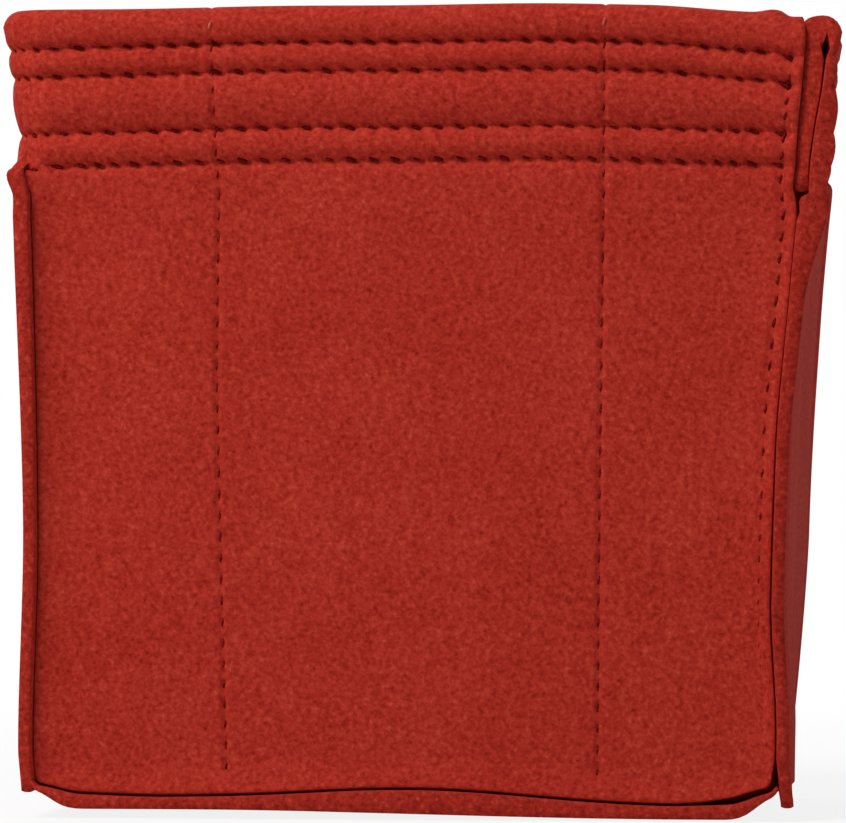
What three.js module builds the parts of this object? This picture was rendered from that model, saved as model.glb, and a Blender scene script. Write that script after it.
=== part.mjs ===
// A stand-up organizer insert for a handbag, sewn from thick felt: four wall panels, a base panel and
// two inner pocket panels. The walls' tops are folded inside and quilted with four stitched rows. The
// seams lie outside: two margins stand side by side with their raw edges bare. The hem's felt runs on
// round three corners and ends in the closing seam at the front right corner.
// X runs across the front, -Y is the front, +Z is up, and the origin is under the middle of the base.
import * as THREE from "three";

// Driving dimensions, in millimetres.
const HEIGHT = 175; // floor to the top of the folded hem
const WIDTH = 163.6; // over the side panels' outer faces, at the floor
const DEPTH = 92; // over the front and back panels' outer faces, at the floor
const SIDE_FLARE = 5; // how far each side panel leans out by the top
const END_FLARE = 3.5; // how far the front and back panels lean out by the top
const FLARE_POWER = 2.2; // above 1 the flare gathers towards the hem

const WALL_FELT = 3.2; // thickness of the wall panels' felt
const BASE_FELT = 3.2; // thickness of the base panel's felt
const POCKET_FELT = 2; // thickness of the pocket panels' felt
const SEWN_GAP = 0.3; // left between two pieces that are sewn face to face

const MARGIN = 4; // seam margin, from the wall's outer face to the raw edge
const CREASE = 1; // radius of the crease where a margin turns outward
const BOTTOM_CORNER = 2.3; // radius of that crease round the bottom corners, over the crease's own
const MARGIN_LEAN = 0.8; // how far the corner seams' raw edges lean outward
const LEAN_RISE = 20; // height above the bottom corners in which they come to lean
const RIB_TAPER = 5; // height in which a corner seam's margins run out into the hem

const HEM_DEPTH = 39; // how far the folded-in layer reaches down inside
const FOLD_GAP = 0.5; // between the hem's two layers where a row draws them together
const ROW_SHARES = [0.2, 0.355, 0.655, 0.845]; // the rows' depths, in shares of the hem's depth
const ROW_SINK = 0.5; // how far a row presses into the felt
const PUFF = 0.9; // how far the felt swells between two rows
const HEM_CORNER = 9; // outer radius of the hem's rounded corners

const CLOSING_RUN = 34; // length over which the side hem swings out to the closing seam
const CLOSING_TAPER = 8; // height in which the side panel comes back in below the folded-in layer

const BASE_CURL = 68; // degrees through which the base's ends turn up round the front's corners
const BASE_END_FELT = 1.2; // thickness that the seam squeezes those ends to

const POCKET_HEIGHT = 120; // floor to the pockets' top edge
const POCKET_SEAM = 41.5; // from the middle to each of the two upright seams
const MIDDLE_POCKET_SWELL = 12; // how far the middle pocket stands off the wall
const OUTER_POCKET_SWELL = 10; // how far the two outer pockets stand off the wall
const SWELL_HEIGHT = 50; // height at which the pockets reach their full swell
const SWELL_AT_BASE_SHARE = 0.35; // the share of the swell that is left at the base

const THREAD = 0.35; // radius of the sewing thread
const THREAD_SIDES = 5;
const SEAM_ON_MARGIN = 1.6; // from the wall's outer face out to the seam's stitches on the margin
const SEAM_TOP_INSET = 3; // from the top of the hem down to the upright seams' first stitch
const SEAM_FOOT_INSET = 1.7; // from the base seam's crease up to the upright seams' last stitch

// Colours of the felt and the thread.
const FELT_RED = 0xa32a22;
const SIDE_RED = 0x952620;
const POCKET_RED = 0x9a2922;
const THREAD_RED = 0x8e231e;

// Sizes worked out from the ones above.
const foldRadius = WALL_FELT + FOLD_GAP / 2 + PUFF;
const foldStart = HEIGHT - foldRadius;
const rows = ROW_SHARES.map((share) => HEIGHT - share * HEM_DEPTH);
const lowestRow = rows[rows.length - 1];
const hemEnd = HEIGHT - HEM_DEPTH;
const ribTop = lowestRow - RIB_TAPER;
const bottomCrease = BASE_FELT + SEWN_GAP + WALL_FELT;
const creaseCorner = CREASE + BOTTOM_CORNER;
const wallFoot = bottomCrease + creaseCorner;
const seatRadius = creaseCorner + WALL_FELT;
const BEND_STEPS = 3; // straight pieces in a margin's bend
const BLOCK = BEND_STEPS + 2; // stations from a panel's flat field to its raw edge

const mix = (a, b, share) => a + (b - a) * share;
const within = (value) => Math.min(1, Math.max(0, value));
const smooth = (value) => within(value) ** 2 * (3 - 2 * within(value));
const radians = THREE.MathUtils.degToRad;
const rise = (z) => (Math.max(z, 0) / HEIGHT) ** FLARE_POWER;
const sideFace = (z) => WIDTH / 2 + SIDE_FLARE * rise(z);
const endFace = (z) => DEPTH / 2 + END_FLARE * rise(z);
const marginFace = (z) => sideFace(z) - WALL_FELT - SEWN_GAP;
const ribShare = (z) => smooth((z - ribTop) / RIB_TAPER);
const lean = (z, stand) =>
  MARGIN_LEAN * (Math.max(stand, 0) / MARGIN) * smooth((z - wallFoot) / LEAN_RISE);

// How far the felt's outer face stands out at a height: sunk at the rows, swollen between them.
function puff(z) {
  const stops = [...rows].reverse();
  if (z <= stops[0]) {
    return mix(0, -ROW_SINK, within((z - hemEnd) / (stops[0] - hemEnd)));
  }
  stops.push(foldStart);
  const band = stops.findIndex((stop) => z <= stop);
  if (band < 0) {
    return PUFF;
  }
  const share = (z - stops[band - 1]) / (stops[band] - stops[band - 1]);
  const lastBand = band === stops.length - 1;
  return mix(-ROW_SINK, PUFF, Math.sin((lastBand ? Math.PI / 2 : Math.PI) * share));
}

// The depths of the felt's four faces below the wall's outer face, from the outside in. The outer
// layer has the first two and the folded-in layer the last two.
const FACES = {
  outside: (z) => -puff(z),
  outsideBack: (z) => WALL_FELT - Math.max(puff(z), 0),
  insideBack: (z) => WALL_FELT + FOLD_GAP + Math.max(puff(z), 0),
  inside: (z) => 2 * WALL_FELT + FOLD_GAP + puff(z),
};

// The bend of a margin that turns outward: how far each station lies past the crease, and how far it
// stands out, on the felt's face and on its back.
function marginBend() {
  const stations = [{ face: [-creaseCorner, 0], back: [-creaseCorner, -WALL_FELT] }];
  for (let step = 0; step <= BEND_STEPS; step += 1) {
    const turn = (Math.PI / 2) * (step / BEND_STEPS);
    const at = (radius) => [radius * Math.sin(turn) - CREASE, CREASE - radius * Math.cos(turn)];
    stations.push({ face: at(CREASE), back: at(CREASE + WALL_FELT) });
  }
  stations.push({ face: [0, MARGIN], back: [WALL_FELT, MARGIN] });
  return stations;
}
const bend = marginBend();

// A point on the hem's rounded corner, as (along, out) in a panel's own plan, kept clear of the
// neighbour by half the sewn gap at the corner's middle.
function cornerPoint(alongFace, outFace, depth, turn, share) {
  const clear = (SEWN_GAP / 2) * share;
  const radius = HEM_CORNER - depth;
  return [
    alongFace - HEM_CORNER + radius * Math.sin(turn) - clear * Math.cos(turn),
    outFace - HEM_CORNER + radius * Math.cos(turn) + clear * Math.sin(turn),
  ];
}

// The plan of the front or back panel: (along, out) of a station at a height, lifted off one of the
// felt's faces. A station in the flat field has a share of the field's half length, and one near an
// end counts up to the raw edge.
function endPanelPlan(station, z, layer, lift, closing) {
  const out = endFace(z);
  const depth = FACES[layer](z) - lift;
  const field = mix(marginFace(z) - WALL_FELT - creaseCorner, sideFace(z) - HEM_CORNER, ribShare(z));
  if (station.count === undefined) {
    return [station.share * field, out - depth];
  }
  const share = station.count / BLOCK;
  const folded = layer === "inside" || layer === "insideBack";
  if (closing && folded) {
    return [mix(field, marginFace(z) - BASE_END_FELT, share), out - depth];
  }
  const [past, stand] = bend[station.count][layer === "outside" ? "face" : "back"];
  const swell = layer === "outside" ? puff(z) : Math.max(puff(z), 0);
  const turned = [
    marginFace(z) - WALL_FELT + past + lean(z, stand),
    out + stand + lift + swell * (1 - share),
  ];
  if (closing) {
    return turned;
  }
  const rounded = cornerPoint(sideFace(z), out, depth, (Math.PI / 4) * share, share);
  const hemShare = folded ? 1 : ribShare(z);
  return [mix(turned[0], rounded[0], hemShare), mix(turned[1], rounded[1], hemShare)];
}

// The plan of a side panel, on the same terms. Its margins run nearly straight on.
function sidePanelPlan(station, z, layer, lift, closing) {
  const field = endFace(z) - HEM_CORNER;
  const depth = FACES[layer](z) - lift;
  const count = station.count ?? 0;
  const share = count / BLOCK;
  const flatSteps = BLOCK - 2;
  const along =
    station.count === undefined
      ? station.share * field
      : count <= flatSteps
        ? mix(field, endFace(z), count / flatSteps)
        : endFace(z) + MARGIN * ((count - flatSteps) / (BLOCK - flatSteps));
  const splay = lean(z, along - endFace(z));
  if (closing) {
    const swing = smooth((along - endFace(z) + CLOSING_RUN) / (CLOSING_RUN - HEM_CORNER));
    const push = (WALL_FELT + FOLD_GAP) * smooth((z - hemEnd + CLOSING_TAPER) / CLOSING_TAPER);
    const flat = FLAT_FACES[layer] - lift;
    const near = within(count / (flatSteps - 1));
    return [along, sideFace(z) - mix(depth, flat, near) + push * swing + splay];
  }
  const straight = [along, sideFace(z) - depth + splay];
  if (station.count === undefined) {
    return straight;
  }
  const [out, turnedAlong] = cornerPoint(sideFace(z), endFace(z), depth, Math.PI / 2 - (Math.PI / 4) * share, 0);
  const clear = (SEWN_GAP / 2) * share * Math.SQRT1_2;
  const rounded = [turnedAlong - clear, out + clear];
  const folded = layer === "inside" || layer === "insideBack";
  const hemShare = folded ? 1 : ribShare(z);
  return [mix(straight[0], rounded[0], hemShare), mix(straight[1], rounded[1], hemShare)];
}

// The four faces' depths where nothing swells or sinks them, as in the closing seam.
const FLAT_FACES = {
  outside: 0,
  outsideBack: WALL_FELT,
  insideBack: WALL_FELT + FOLD_GAP,
  inside: 2 * WALL_FELT + FOLD_GAP,
};

// The stations along a panel, from one raw edge to the other.
const FIELD_SHARES = [-0.5, 0, 0.5];
function panelStations() {
  const ends = Array.from({ length: BLOCK + 1 }, (_, count) => count);
  return [
    ...[...ends].reverse().map((count) => ({ end: -1, count })),
    ...FIELD_SHARES.map((share) => ({ end: Math.sign(share), share })),
    ...ends.map((count) => ({ end: 1, count })),
  ];
}

// The levels up a panel's outer layer from its lowest to the fold, and the hem's own levels.
const LOBE_SHARES = [0, 0.33, 0.67];
const hemLevels = [...rows]
  .reverse()
  .flatMap((row, index, all) =>
    LOBE_SHARES.map((share) => mix(row, all[index + 1] ?? foldStart, share)),
  )
  .concat(foldStart);
const WALL_SHARES = [0, 0.35, 0.7, 0.94, 1];
const wallLevels = (lowest) => [
  ...WALL_SHARES.map((share) => mix(lowest, ribTop, share)),
  mix(ribTop, lowestRow, 1 / 2),
  ...hemLevels,
];
const FOLD_STEPS = 5; // straight pieces in the fold at the top

// The panel's felt as two grids of points, its face and its back. The felt is followed up the outer
// layer, over the fold and down the folded-in layer.
function panelGrids(plan, lowest, closingEnd, toPlace) {
  const grids = { face: [], back: [] };
  for (const station of panelStations()) {
    const closing = closingEnd === station.end;
    const at = (layer, z) => {
      const [along, out] = plan(station, z, layer, 0, closing);
      const end = station.count === undefined ? 1 : station.end;
      return [end * along, out];
    };
    for (const [side, outer, inner, radius] of [
      ["face", "outside", "inside", foldRadius],
      ["back", "outsideBack", "insideBack", foldRadius - WALL_FELT],
    ]) {
      const line = wallLevels(lowest).map((z) => toPlace(...at(outer, z), z));
      const from = at(outer, foldStart);
      const to = at(inner, foldStart);
      for (let step = 1; step < FOLD_STEPS; step += 1) {
        const turn = Math.PI * (step / FOLD_STEPS);
        const share = (1 - Math.cos(turn)) / 2;
        const height = foldStart + radius * Math.sin(turn);
        line.push(toPlace(mix(from[0], to[0], share), mix(from[1], to[1], share), height));
      }
      for (const z of [...hemLevels].reverse().concat(hemEnd)) {
        line.push(toPlace(...at(inner, z), z));
      }
      grids[side].push(line);
    }
  }
  return grids;
}

// The front or back panel's bottom margin, from its raw edge up to where the wall's levels start. At
// the bottom corners the margin runs round: equal counts form a ring about the corner's middle.
function addBottomMargin(grids, closingEnd, toPlace) {
  panelStations().forEach((station, index) => {
    const count = station.count ?? 0;
    for (const side of ["face", "back"]) {
      const lower = [];
      for (let down = BLOCK; down > 0; down -= 1) {
        const ring = Math.max(count, down);
        const [past, stand] = bend[ring][side];
        const turn = (Math.PI / 4) * (Math.min(count, down) / ring);
        const reach = creaseCorner + past;
        const sideways = reach * (count >= down ? Math.cos(turn) : Math.sin(turn));
        const drop = reach * (count >= down ? Math.sin(turn) : Math.cos(turn));
        const z = wallFoot - drop;
        const field = marginFace(wallFoot) - WALL_FELT - creaseCorner;
        const along = station.count === undefined ? station.share * field : station.end * (field + sideways);
        lower.push(toPlace(along, endFace(z) + stand, z));
      }
      grids[side][index].unshift(...lower);
    }
  });
}

// One closed body from two grids of the same size: the felt's face, its back and the edges between.
function feltGeometry({ face, back }) {
  const columns = face.length;
  const levels = face[0].length;
  const positions = [...face.flat(), ...back.flat()].flatMap((point) => point.toArray());
  const index = [];
  const quad = (a, b, c, d) => index.push(a, b, c, a, c, d);
  const onFace = (column, level) => column * levels + level;
  const onBack = (column, level) => onFace(columns, 0) + onFace(column, level);
  for (let c = 0; c + 1 < columns; c += 1) {
    for (let l = 0; l + 1 < levels; l += 1) {
      quad(onFace(c, l), onFace(c + 1, l), onFace(c + 1, l + 1), onFace(c, l + 1));
      quad(onBack(c, l), onBack(c, l + 1), onBack(c + 1, l + 1), onBack(c + 1, l));
    }
    const top = levels - 1;
    quad(onFace(c, 0), onBack(c, 0), onBack(c + 1, 0), onFace(c + 1, 0));
    quad(onFace(c, top), onFace(c + 1, top), onBack(c + 1, top), onBack(c, top));
  }
  for (let l = 0; l + 1 < levels; l += 1) {
    const last = columns - 1;
    quad(onFace(0, l), onFace(0, l + 1), onBack(0, l + 1), onBack(0, l));
    quad(onFace(last, l), onBack(last, l), onBack(last, l + 1), onFace(last, l + 1));
  }
  const geometry = new THREE.BufferGeometry();
  geometry.setAttribute("position", new THREE.Float32BufferAttribute(positions, 3));
  geometry.setIndex(facingOut(positions, index) ? index : index.reverse());
  return geometry;
}

// Whether the triangles enclose a positive volume, which they do when they face outward.
function facingOut(positions, index) {
  const corner = (i) => new THREE.Vector3().fromArray(positions, 3 * index[i]);
  let volume = 0;
  for (let i = 0; i < index.length; i += 3) {
    volume += corner(i).dot(corner(i + 1).cross(corner(i + 2)));
  }
  return volume > 0;
}

const ends = {
  front: (along, out, z) => new THREE.Vector3(along, -out, z),
  back: (along, out, z) => new THREE.Vector3(-along, out, z),
  right: (along, out, z) => new THREE.Vector3(out, -along, z),
  left: (along, out, z) => new THREE.Vector3(-out, along, z),
};

function endPanel(name, closingEnd) {
  const grids = panelGrids(endPanelPlan, wallFoot, closingEnd, ends[name]);
  addBottomMargin(grids, closingEnd, ends[name]);
  return feltGeometry(grids);
}

// The side panels stand on the base's upturned ends.
const curl = radians(BASE_CURL);
const curlMiddle = { x: marginFace(0) - seatRadius, z: wallFoot };
const sideFoot = curlMiddle.z - (seatRadius + SEWN_GAP) * Math.cos(curl) + SEWN_GAP;

function sidePanel(name, closingEnd) {
  return feltGeometry(panelGrids(sidePanelPlan, sideFoot, closingEnd, ends[name]));
}

// The base panel: flat, with its front and back edges flush with the margins sewn to it, and with its
// ends turned up round the front and back panels' bottom corners.
const CURL_STEPS = 5;
function basePanel() {
  const reach = endFace(0) + MARGIN;
  const half = Array.from({ length: CURL_STEPS + 1 }, (_, step) => curl * (step / CURL_STEPS));
  const turns = [...half].reverse().map((turn) => -turn).concat(half);
  const inner = seatRadius + SEWN_GAP;
  const section = turns.map((turn) => {
    const felt = mix(BASE_FELT, BASE_END_FELT, Math.abs(turn) / curl);
    const side = turn < 0 || Object.is(turn, -0) ? -1 : 1;
    const at = (radius) => [
      side * curlMiddle.x + radius * Math.sin(turn),
      curlMiddle.z - radius * Math.cos(turn),
    ];
    return { top: at(inner), under: at(inner + felt) };
  });
  const lines = (key) => section.map((cut) => [-reach, reach].map((y) => new THREE.Vector3(cut[key][0], y, cut[key][1])));
  return feltGeometry({ face: lines("top"), back: lines("under") });
}

// A pocket panel: held to the wall at the two upright seams and in the corners, and swollen off it
// between them. Its lower edge stands on the base and follows the base's upturned ends.
const POCKET_STEPS = { outer: 6, middle: 10 };
const POCKET_LEVEL_SHARES = [0, 0.15, 0.4, 0.7, 1];
function pocketStations() {
  const list = [];
  const span = (from, to, steps, swell) => {
    for (let step = 0; step < steps; step += 1) {
      const share = step / steps;
      list.push({ from, to, share, swell: swell * Math.sin(Math.PI * share) });
    }
  };
  span("edge", "seam", POCKET_STEPS.outer, OUTER_POCKET_SWELL);
  span("seam", "farSeam", POCKET_STEPS.middle, MIDDLE_POCKET_SWELL);
  span("farSeam", "farEdge", POCKET_STEPS.outer, OUTER_POCKET_SWELL);
  list.push({ from: "farEdge", to: "farEdge", share: 0, swell: 0 });
  return list;
}

function pocketPanel(name) {
  const face = [];
  const back = [];
  const edge = (z) => marginFace(z);
  const stops = {
    edge: (z) => -edge(z),
    seam: () => -POCKET_SEAM,
    farSeam: () => POCKET_SEAM,
    farEdge: edge,
  };
  for (const { from, to, share, swell } of pocketStations()) {
    const foot = footHeight(Math.abs(mix(stops[from](0), stops[to](0), share)));
    const column = POCKET_LEVEL_SHARES.map((level) => {
      const z = mix(foot, POCKET_HEIGHT, level);
      const open = mix(SWELL_AT_BASE_SHARE, 1, smooth(z / SWELL_HEIGHT));
      const depth = WALL_FELT + SEWN_GAP + swell * open;
      return { along: mix(stops[from](z), stops[to](z), share), out: endFace(z) - depth, z };
    });
    face.push(column.map(({ along, out, z }) => ends[name](along, out, z)));
    back.push(column.map(({ along, out, z }) => ends[name](along, out - POCKET_FELT, z)));
  }
  return feltGeometry({ face, back });
}

// The height of the base's upper side, with the sewn gap, at a distance from the middle.
function footHeight(along) {
  const past = Math.max(along - curlMiddle.x, 0);
  return curlMiddle.z - Math.sqrt(Math.max(seatRadius ** 2 - past ** 2, 0));
}

// A seam's thread. The path passes through the given points, one for each step of the tube.
class SeamPath extends THREE.Curve {
  constructor(points) {
    super();
    this.points = points;
  }

  getPoint(share, target = new THREE.Vector3()) {
    const place = within(share) * (this.points.length - 1);
    const before = Math.min(Math.floor(place), this.points.length - 2);
    return target.lerpVectors(this.points[before], this.points[before + 1], place - before);
  }

  getUtoTmapping(share) {
    return share;
  }
}

function threadGeometry(points) {
  const section = new THREE.Shape();
  for (let side = 0; side < THREAD_SIDES; side += 1) {
    const turn = 2 * Math.PI * (side / THREAD_SIDES);
    const corner = [THREAD * Math.cos(turn), THREAD * Math.sin(turn)];
    if (side === 0) {
      section.moveTo(...corner);
    } else {
      section.lineTo(...corner);
    }
  }
  return new THREE.ExtrudeGeometry(section, {
    steps: points.length - 1,
    extrudePath: new SeamPath(points),
    curveSegments: THREAD_SIDES,
  });
}

const threadStand = THREAD + SEWN_GAP;

// A hem row's thread, from the closing seam round three corners and back to it.
function hemRow(z) {
  const ring = [];
  const walk = (plan, place, stations) => {
    for (const station of stations) {
      const closing = station.closing === true;
      const [along, out] = plan(station, z, "outside", threadStand, closing);
      ring.push(place((station.end ?? 1) * along, out, z));
    }
  };
  const counts = (from, to, end) => {
    const step = Math.sign(to - from);
    const length = Math.abs(to - from) + 1;
    return Array.from({ length }, (_, i) => ({ end, count: from + i * step }));
  };
  const whole = (end) => [...counts(BLOCK - 1, 0, end), ...counts(0, BLOCK - 1, -end)];
  walk(endPanelPlan, ends.front, [{ share: 1 }, ...counts(0, BLOCK - 1, -1)]);
  walk(sidePanelPlan, ends.left, whole(-1));
  walk(endPanelPlan, ends.back, whole(1).map((station) => ({ ...station, end: station.end })));
  const toClosing = counts(0, BLOCK - 2, 1).map((station) => ({ ...station, closing: true }));
  const swing = SWING_SHARES.map((share) => ({ share, closing: true }));
  walk(sidePanelPlan, ends.right, [...counts(BLOCK - 1, 0, -1), ...swing, ...toClosing]);
  return threadGeometry(ring);
}
const SWING_SHARES = [0.2, 0.5, 0.75];

// An upright pocket seam's thread on the outside of the front or back panel. It rides over the rows.
function pocketSeam(name, side) {
  const top = HEIGHT - SEAM_TOP_INSET;
  const foot = bottomCrease + SEAM_FOOT_INSET;
  const levels = [foot, ...wallLevels(wallFoot).filter((z) => z > foot && z < top)];
  const overRow = 2 * THREAD + SEWN_GAP - ROW_SINK;
  const points = levels.map((z) => {
    const lift = z < lowestRow - RIB_TAPER ? 0 : Math.max(puff(z), overRow);
    return ends[name](side * POCKET_SEAM, endFace(z) + lift + threadStand, z);
  });
  return threadGeometry(points);
}

// A corner seam's thread, on the inner side of the front or back panel's turned margin.
function cornerSeam(name, side, top) {
  const points = SEAM_SHARES.map((share) => {
    const z = mix(wallFoot, top, share);
    const along = marginFace(z) - WALL_FELT - threadStand;
    return ends[name](side * along, endFace(z) + SEAM_ON_MARGIN, z);
  });
  return threadGeometry(points);
}
const SEAM_SHARES = [0, 0.25, 0.5, 0.7, 0.85, 1];

// The base seam's thread, on top of the front or back panel's bottom margin.
function baseSeam(name) {
  const z = bottomCrease + threadStand;
  const reach = marginFace(0) - WALL_FELT - creaseCorner;
  return threadGeometry([-reach, reach].map((along) => ends[name](along, endFace(z) + SEAM_ON_MARGIN, z)));
}

function named(name, geometry, color, roughness) {
  const mesh = new THREE.Mesh(geometry, new THREE.MeshStandardMaterial({ color, roughness, metalness: 0 }));
  mesh.name = name;
  return mesh;
}

const FELT_ROUGHNESS = 0.95;
const THREAD_ROUGHNESS = 0.7;
const CLOSING = 1; // the end of the front and right panels that the closing seam joins
const organizer = new THREE.Group();
const felt = new THREE.Group();
felt.add(
  named("front_panel", endPanel("front", CLOSING), FELT_RED, FELT_ROUGHNESS),
  named("back_panel", endPanel("back", null), FELT_RED, FELT_ROUGHNESS),
  named("left_side_panel", sidePanel("left", null), SIDE_RED, FELT_ROUGHNESS),
  named("right_side_panel", sidePanel("right", CLOSING), SIDE_RED, FELT_ROUGHNESS),
  named("base_panel", basePanel(), SIDE_RED, FELT_ROUGHNESS),
  named("front_pocket_panel", pocketPanel("front"), POCKET_RED, FELT_ROUGHNESS),
  named("back_pocket_panel", pocketPanel("back"), POCKET_RED, FELT_ROUGHNESS),
);
const thread = new THREE.Group();
rows.forEach((z, index) => {
  thread.add(named(`hem_row_thread_${index + 1}`, hemRow(z), THREAD_RED, THREAD_ROUGHNESS));
});
const closingTop = HEIGHT - SEAM_TOP_INSET;
for (const name of ["front", "back"]) {
  for (const [label, side] of [
    ["left", -1],
    ["right", 1],
  ]) {
    const top = name === "front" && side === CLOSING ? closingTop : ribTop;
    const seam = `${name}_${label}`;
    thread.add(named(`${seam}_pocket_seam_thread`, pocketSeam(name, side), THREAD_RED, THREAD_ROUGHNESS));
    thread.add(named(`${seam}_corner_seam_thread`, cornerSeam(name, side, top), THREAD_RED, THREAD_ROUGHNESS));
  }
  thread.add(named(`${name}_base_seam_thread`, baseSeam(name), THREAD_RED, THREAD_ROUGHNESS));
}
organizer.add(felt, thread);

export default organizer;
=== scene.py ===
"""A felt organizer insert for a handbag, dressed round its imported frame.

Four wall panels carry a folded, quilted hem. They are modelled as dense sheets of felt whose faces
dip at every needle hole, and the seams are real stitches that dive into those holes.
"""

import math
from dataclasses import dataclass
from functools import lru_cache

import bpy
import numpy as np
from bpy.props import FloatProperty, FloatVectorProperty, PointerProperty
from bpy.types import Operator, Panel, PropertyGroup
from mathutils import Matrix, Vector


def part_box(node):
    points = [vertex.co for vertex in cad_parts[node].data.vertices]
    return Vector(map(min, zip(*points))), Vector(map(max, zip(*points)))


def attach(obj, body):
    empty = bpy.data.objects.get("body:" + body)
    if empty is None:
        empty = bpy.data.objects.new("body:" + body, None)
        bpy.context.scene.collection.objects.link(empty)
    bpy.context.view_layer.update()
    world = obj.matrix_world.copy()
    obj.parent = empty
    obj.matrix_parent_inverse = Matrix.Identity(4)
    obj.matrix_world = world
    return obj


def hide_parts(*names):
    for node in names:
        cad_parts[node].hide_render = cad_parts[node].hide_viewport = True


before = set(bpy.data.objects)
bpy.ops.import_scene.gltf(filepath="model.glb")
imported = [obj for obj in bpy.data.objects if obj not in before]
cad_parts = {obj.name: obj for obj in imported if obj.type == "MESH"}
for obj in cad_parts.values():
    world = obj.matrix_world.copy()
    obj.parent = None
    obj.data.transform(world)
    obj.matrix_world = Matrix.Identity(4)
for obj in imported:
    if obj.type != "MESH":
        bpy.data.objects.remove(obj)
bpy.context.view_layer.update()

bl_info = {
    "name": "Purse organizer insert",
    "version": (1, 0, 0),
    "blender": (4, 5, 0),
    "location": "3D View > Sidebar > Insert",
    "description": "Builds a felt organizer insert for a handbag, with its stitches and a plain stage",
    "category": "Add Mesh",
}

MM = 0.001

# The driving sizes.
HEIGHT = 175 * MM
WIDTH = 161.5 * MM
DEPTH = 92 * MM
FELT = 3.2 * MM
PITCH = 4.6 * MM  # from one needle hole to the next
SIDE_FLARE = 5.6 * MM
END_FLARE = 3.5 * MM
FLARE_POWER = 2.2

# The seams' margins.
SEWN_GAP = 0.25 * MM  # between two pieces that are sewn face to face
MARGIN = 4 * MM  # from the wall's outer face to a seam's raw edge
MARGIN_LEAN = 0.7 * MM  # how far the corner seams' raw edges lean outward
LEAN_RISE = 9 * MM  # height in which they come to lean
SWEEP = 10 * MM  # felt over which the end panels sweep outward to their raw edges
SWEEP_TURN = math.radians(26)  # how far they have turned there
SWEEP_STEPS = 24
SWEEP_POWER = 1.2
SQUARE_POWER = 3  # how late on the way there the felt's end is cut square to the wall
SIDE_TURNED_SHARE = 0.6  # of a side panel's corner stations lie inside its fold line
BOTTOM_CORNER = 1.6 * MM  # radius of the end panels' lower corners
STRIP_RISE = 6 * MM  # over which a side panel's front margin hangs lower and kicks out
STRIP_TURN_SHARE = 0.7
HANGING_STRIPS = {"right": (1, 4.4 * MM, 1.4 * MM), "left": (-1, 2.5 * MM, 0.1 * MM)}
RIB_TAPER = 5 * MM  # height in which a corner seam's margins run out into the hem
RIB_DROP = 1.4 * MM  # how far below the lowest row that starts
EDGE_ROUND = 0.4 * MM  # how far a cut edge is rounded over
EDGE_GAPE = 0.5 * MM  # how far the end panels' lower edges stand off the base
CORNER_GAPE = 1.1 * MM  # how far the front's lower right corner stands off the base
CORNER_GAPE_REACH = 6 * MM
CORNER_TUCK = 0.5 * MM  # and how far it runs in

# The hem.
HEM_DEPTH = 39 * MM
FOLD_GAP = 0.5 * MM  # between its two layers where a row draws them together
ROW_SHARES = (0.204, 0.361, 0.674, 0.857)  # of the hem's depth, down to each row
ROW_SINK = 0.85 * MM
ROW_FALL = 3.2 * MM  # below the lowest row the felt rises back to the wall's face over this height
PUFF = 1.05 * MM  # how far the felt swells between two rows
LOBE_POWER = 0.82  # under 1 the felt stays full between two rows and drops steeply at them
LOBE_LEAN = 1.05  # over 1 the fullest part lies nearer to the row above
WIDE_LOBE = 12 * MM  # lobes narrower than this puff out less
NARROW_LOBE_SHARE = 0.35
HEM_CORNER = 9 * MM
SIDE_CALM_SHARE = 0.5  # how much flatter the quilting is on the side panels and round the corners
CALM_TURN_SHARE = 1 / 1.3  # of the turn round a corner in which it comes to be so
CALM_FADE = 5 * MM  # above the top row it is full again

# The closing seam, where the hem's two raw ends meet.
CUT_BACK = {  # how much shorter than the front's margin each face of the side panel is cut
    "outside": 1.5 * MM,
    "outside_back": 0.8 * MM,
    "inside_back": 2.8 * MM,
    "inside": 3.4 * MM,
}
CLOSING_GAP = 0.33 * MM  # how much wider the seam gapes in its lower half
CLOSING_TOP_GAP = 0.08 * MM  # and in its upper half
GAP_HEIGHT_SHARES = (1 / 3, 2 / 3)
GAP_POWER = 4
CLOSING_RUN = 34 * MM  # length over which the side's hem swings out to the seam
CLOSING_TAPER = 2.6 * MM  # below the folded layer's end the outer layer swings back in over this height
OUTER_TAPER = 26 * MM  # and its outer face over this one
CLOSING_ROUND_SHARE = 0.55  # of a cut edge's rounding that the hem's raw ends have
CLOSING_CALM_SHARE = 0.6  # how much flatter the quilting is at the side's raw end
CLOSING_CALM_TURN_SHARE = 0.4
CLOSING_SWELL = 1.6 * MM  # how much fuller the outer layer is at its raw end
SWELL_EASE_SHARE = 0.65  # of that which is gone at the top row
BACK_SWELL_SHARE = 0.8  # of the hem's depth, in which the layers' backs swell
FRONT_EASE_TURNS = (1.1, 0.8)  # between which the front's quilting eases
CLOSING_SHIFT = 0.8 * MM  # how far the front's raw end runs further out there
SLIT_PRESSED = 0.16 * MM  # how far each layer is pressed towards the other there
SLIT_HOLLOW = 0.75 * MM  # how far the two layers gape below the fold
SLIT_RISE = (-5 * MM, -1 * MM)  # where that starts and is full, from the fold's start
SQUARE_FOLD = 0.36  # power that squares the fold's inner half there
SEAM_PINCH = 0.7 * MM  # how much thinner the side panels' margins are sewn
PINCH_TOP = 125 * MM  # where that ends

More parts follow.
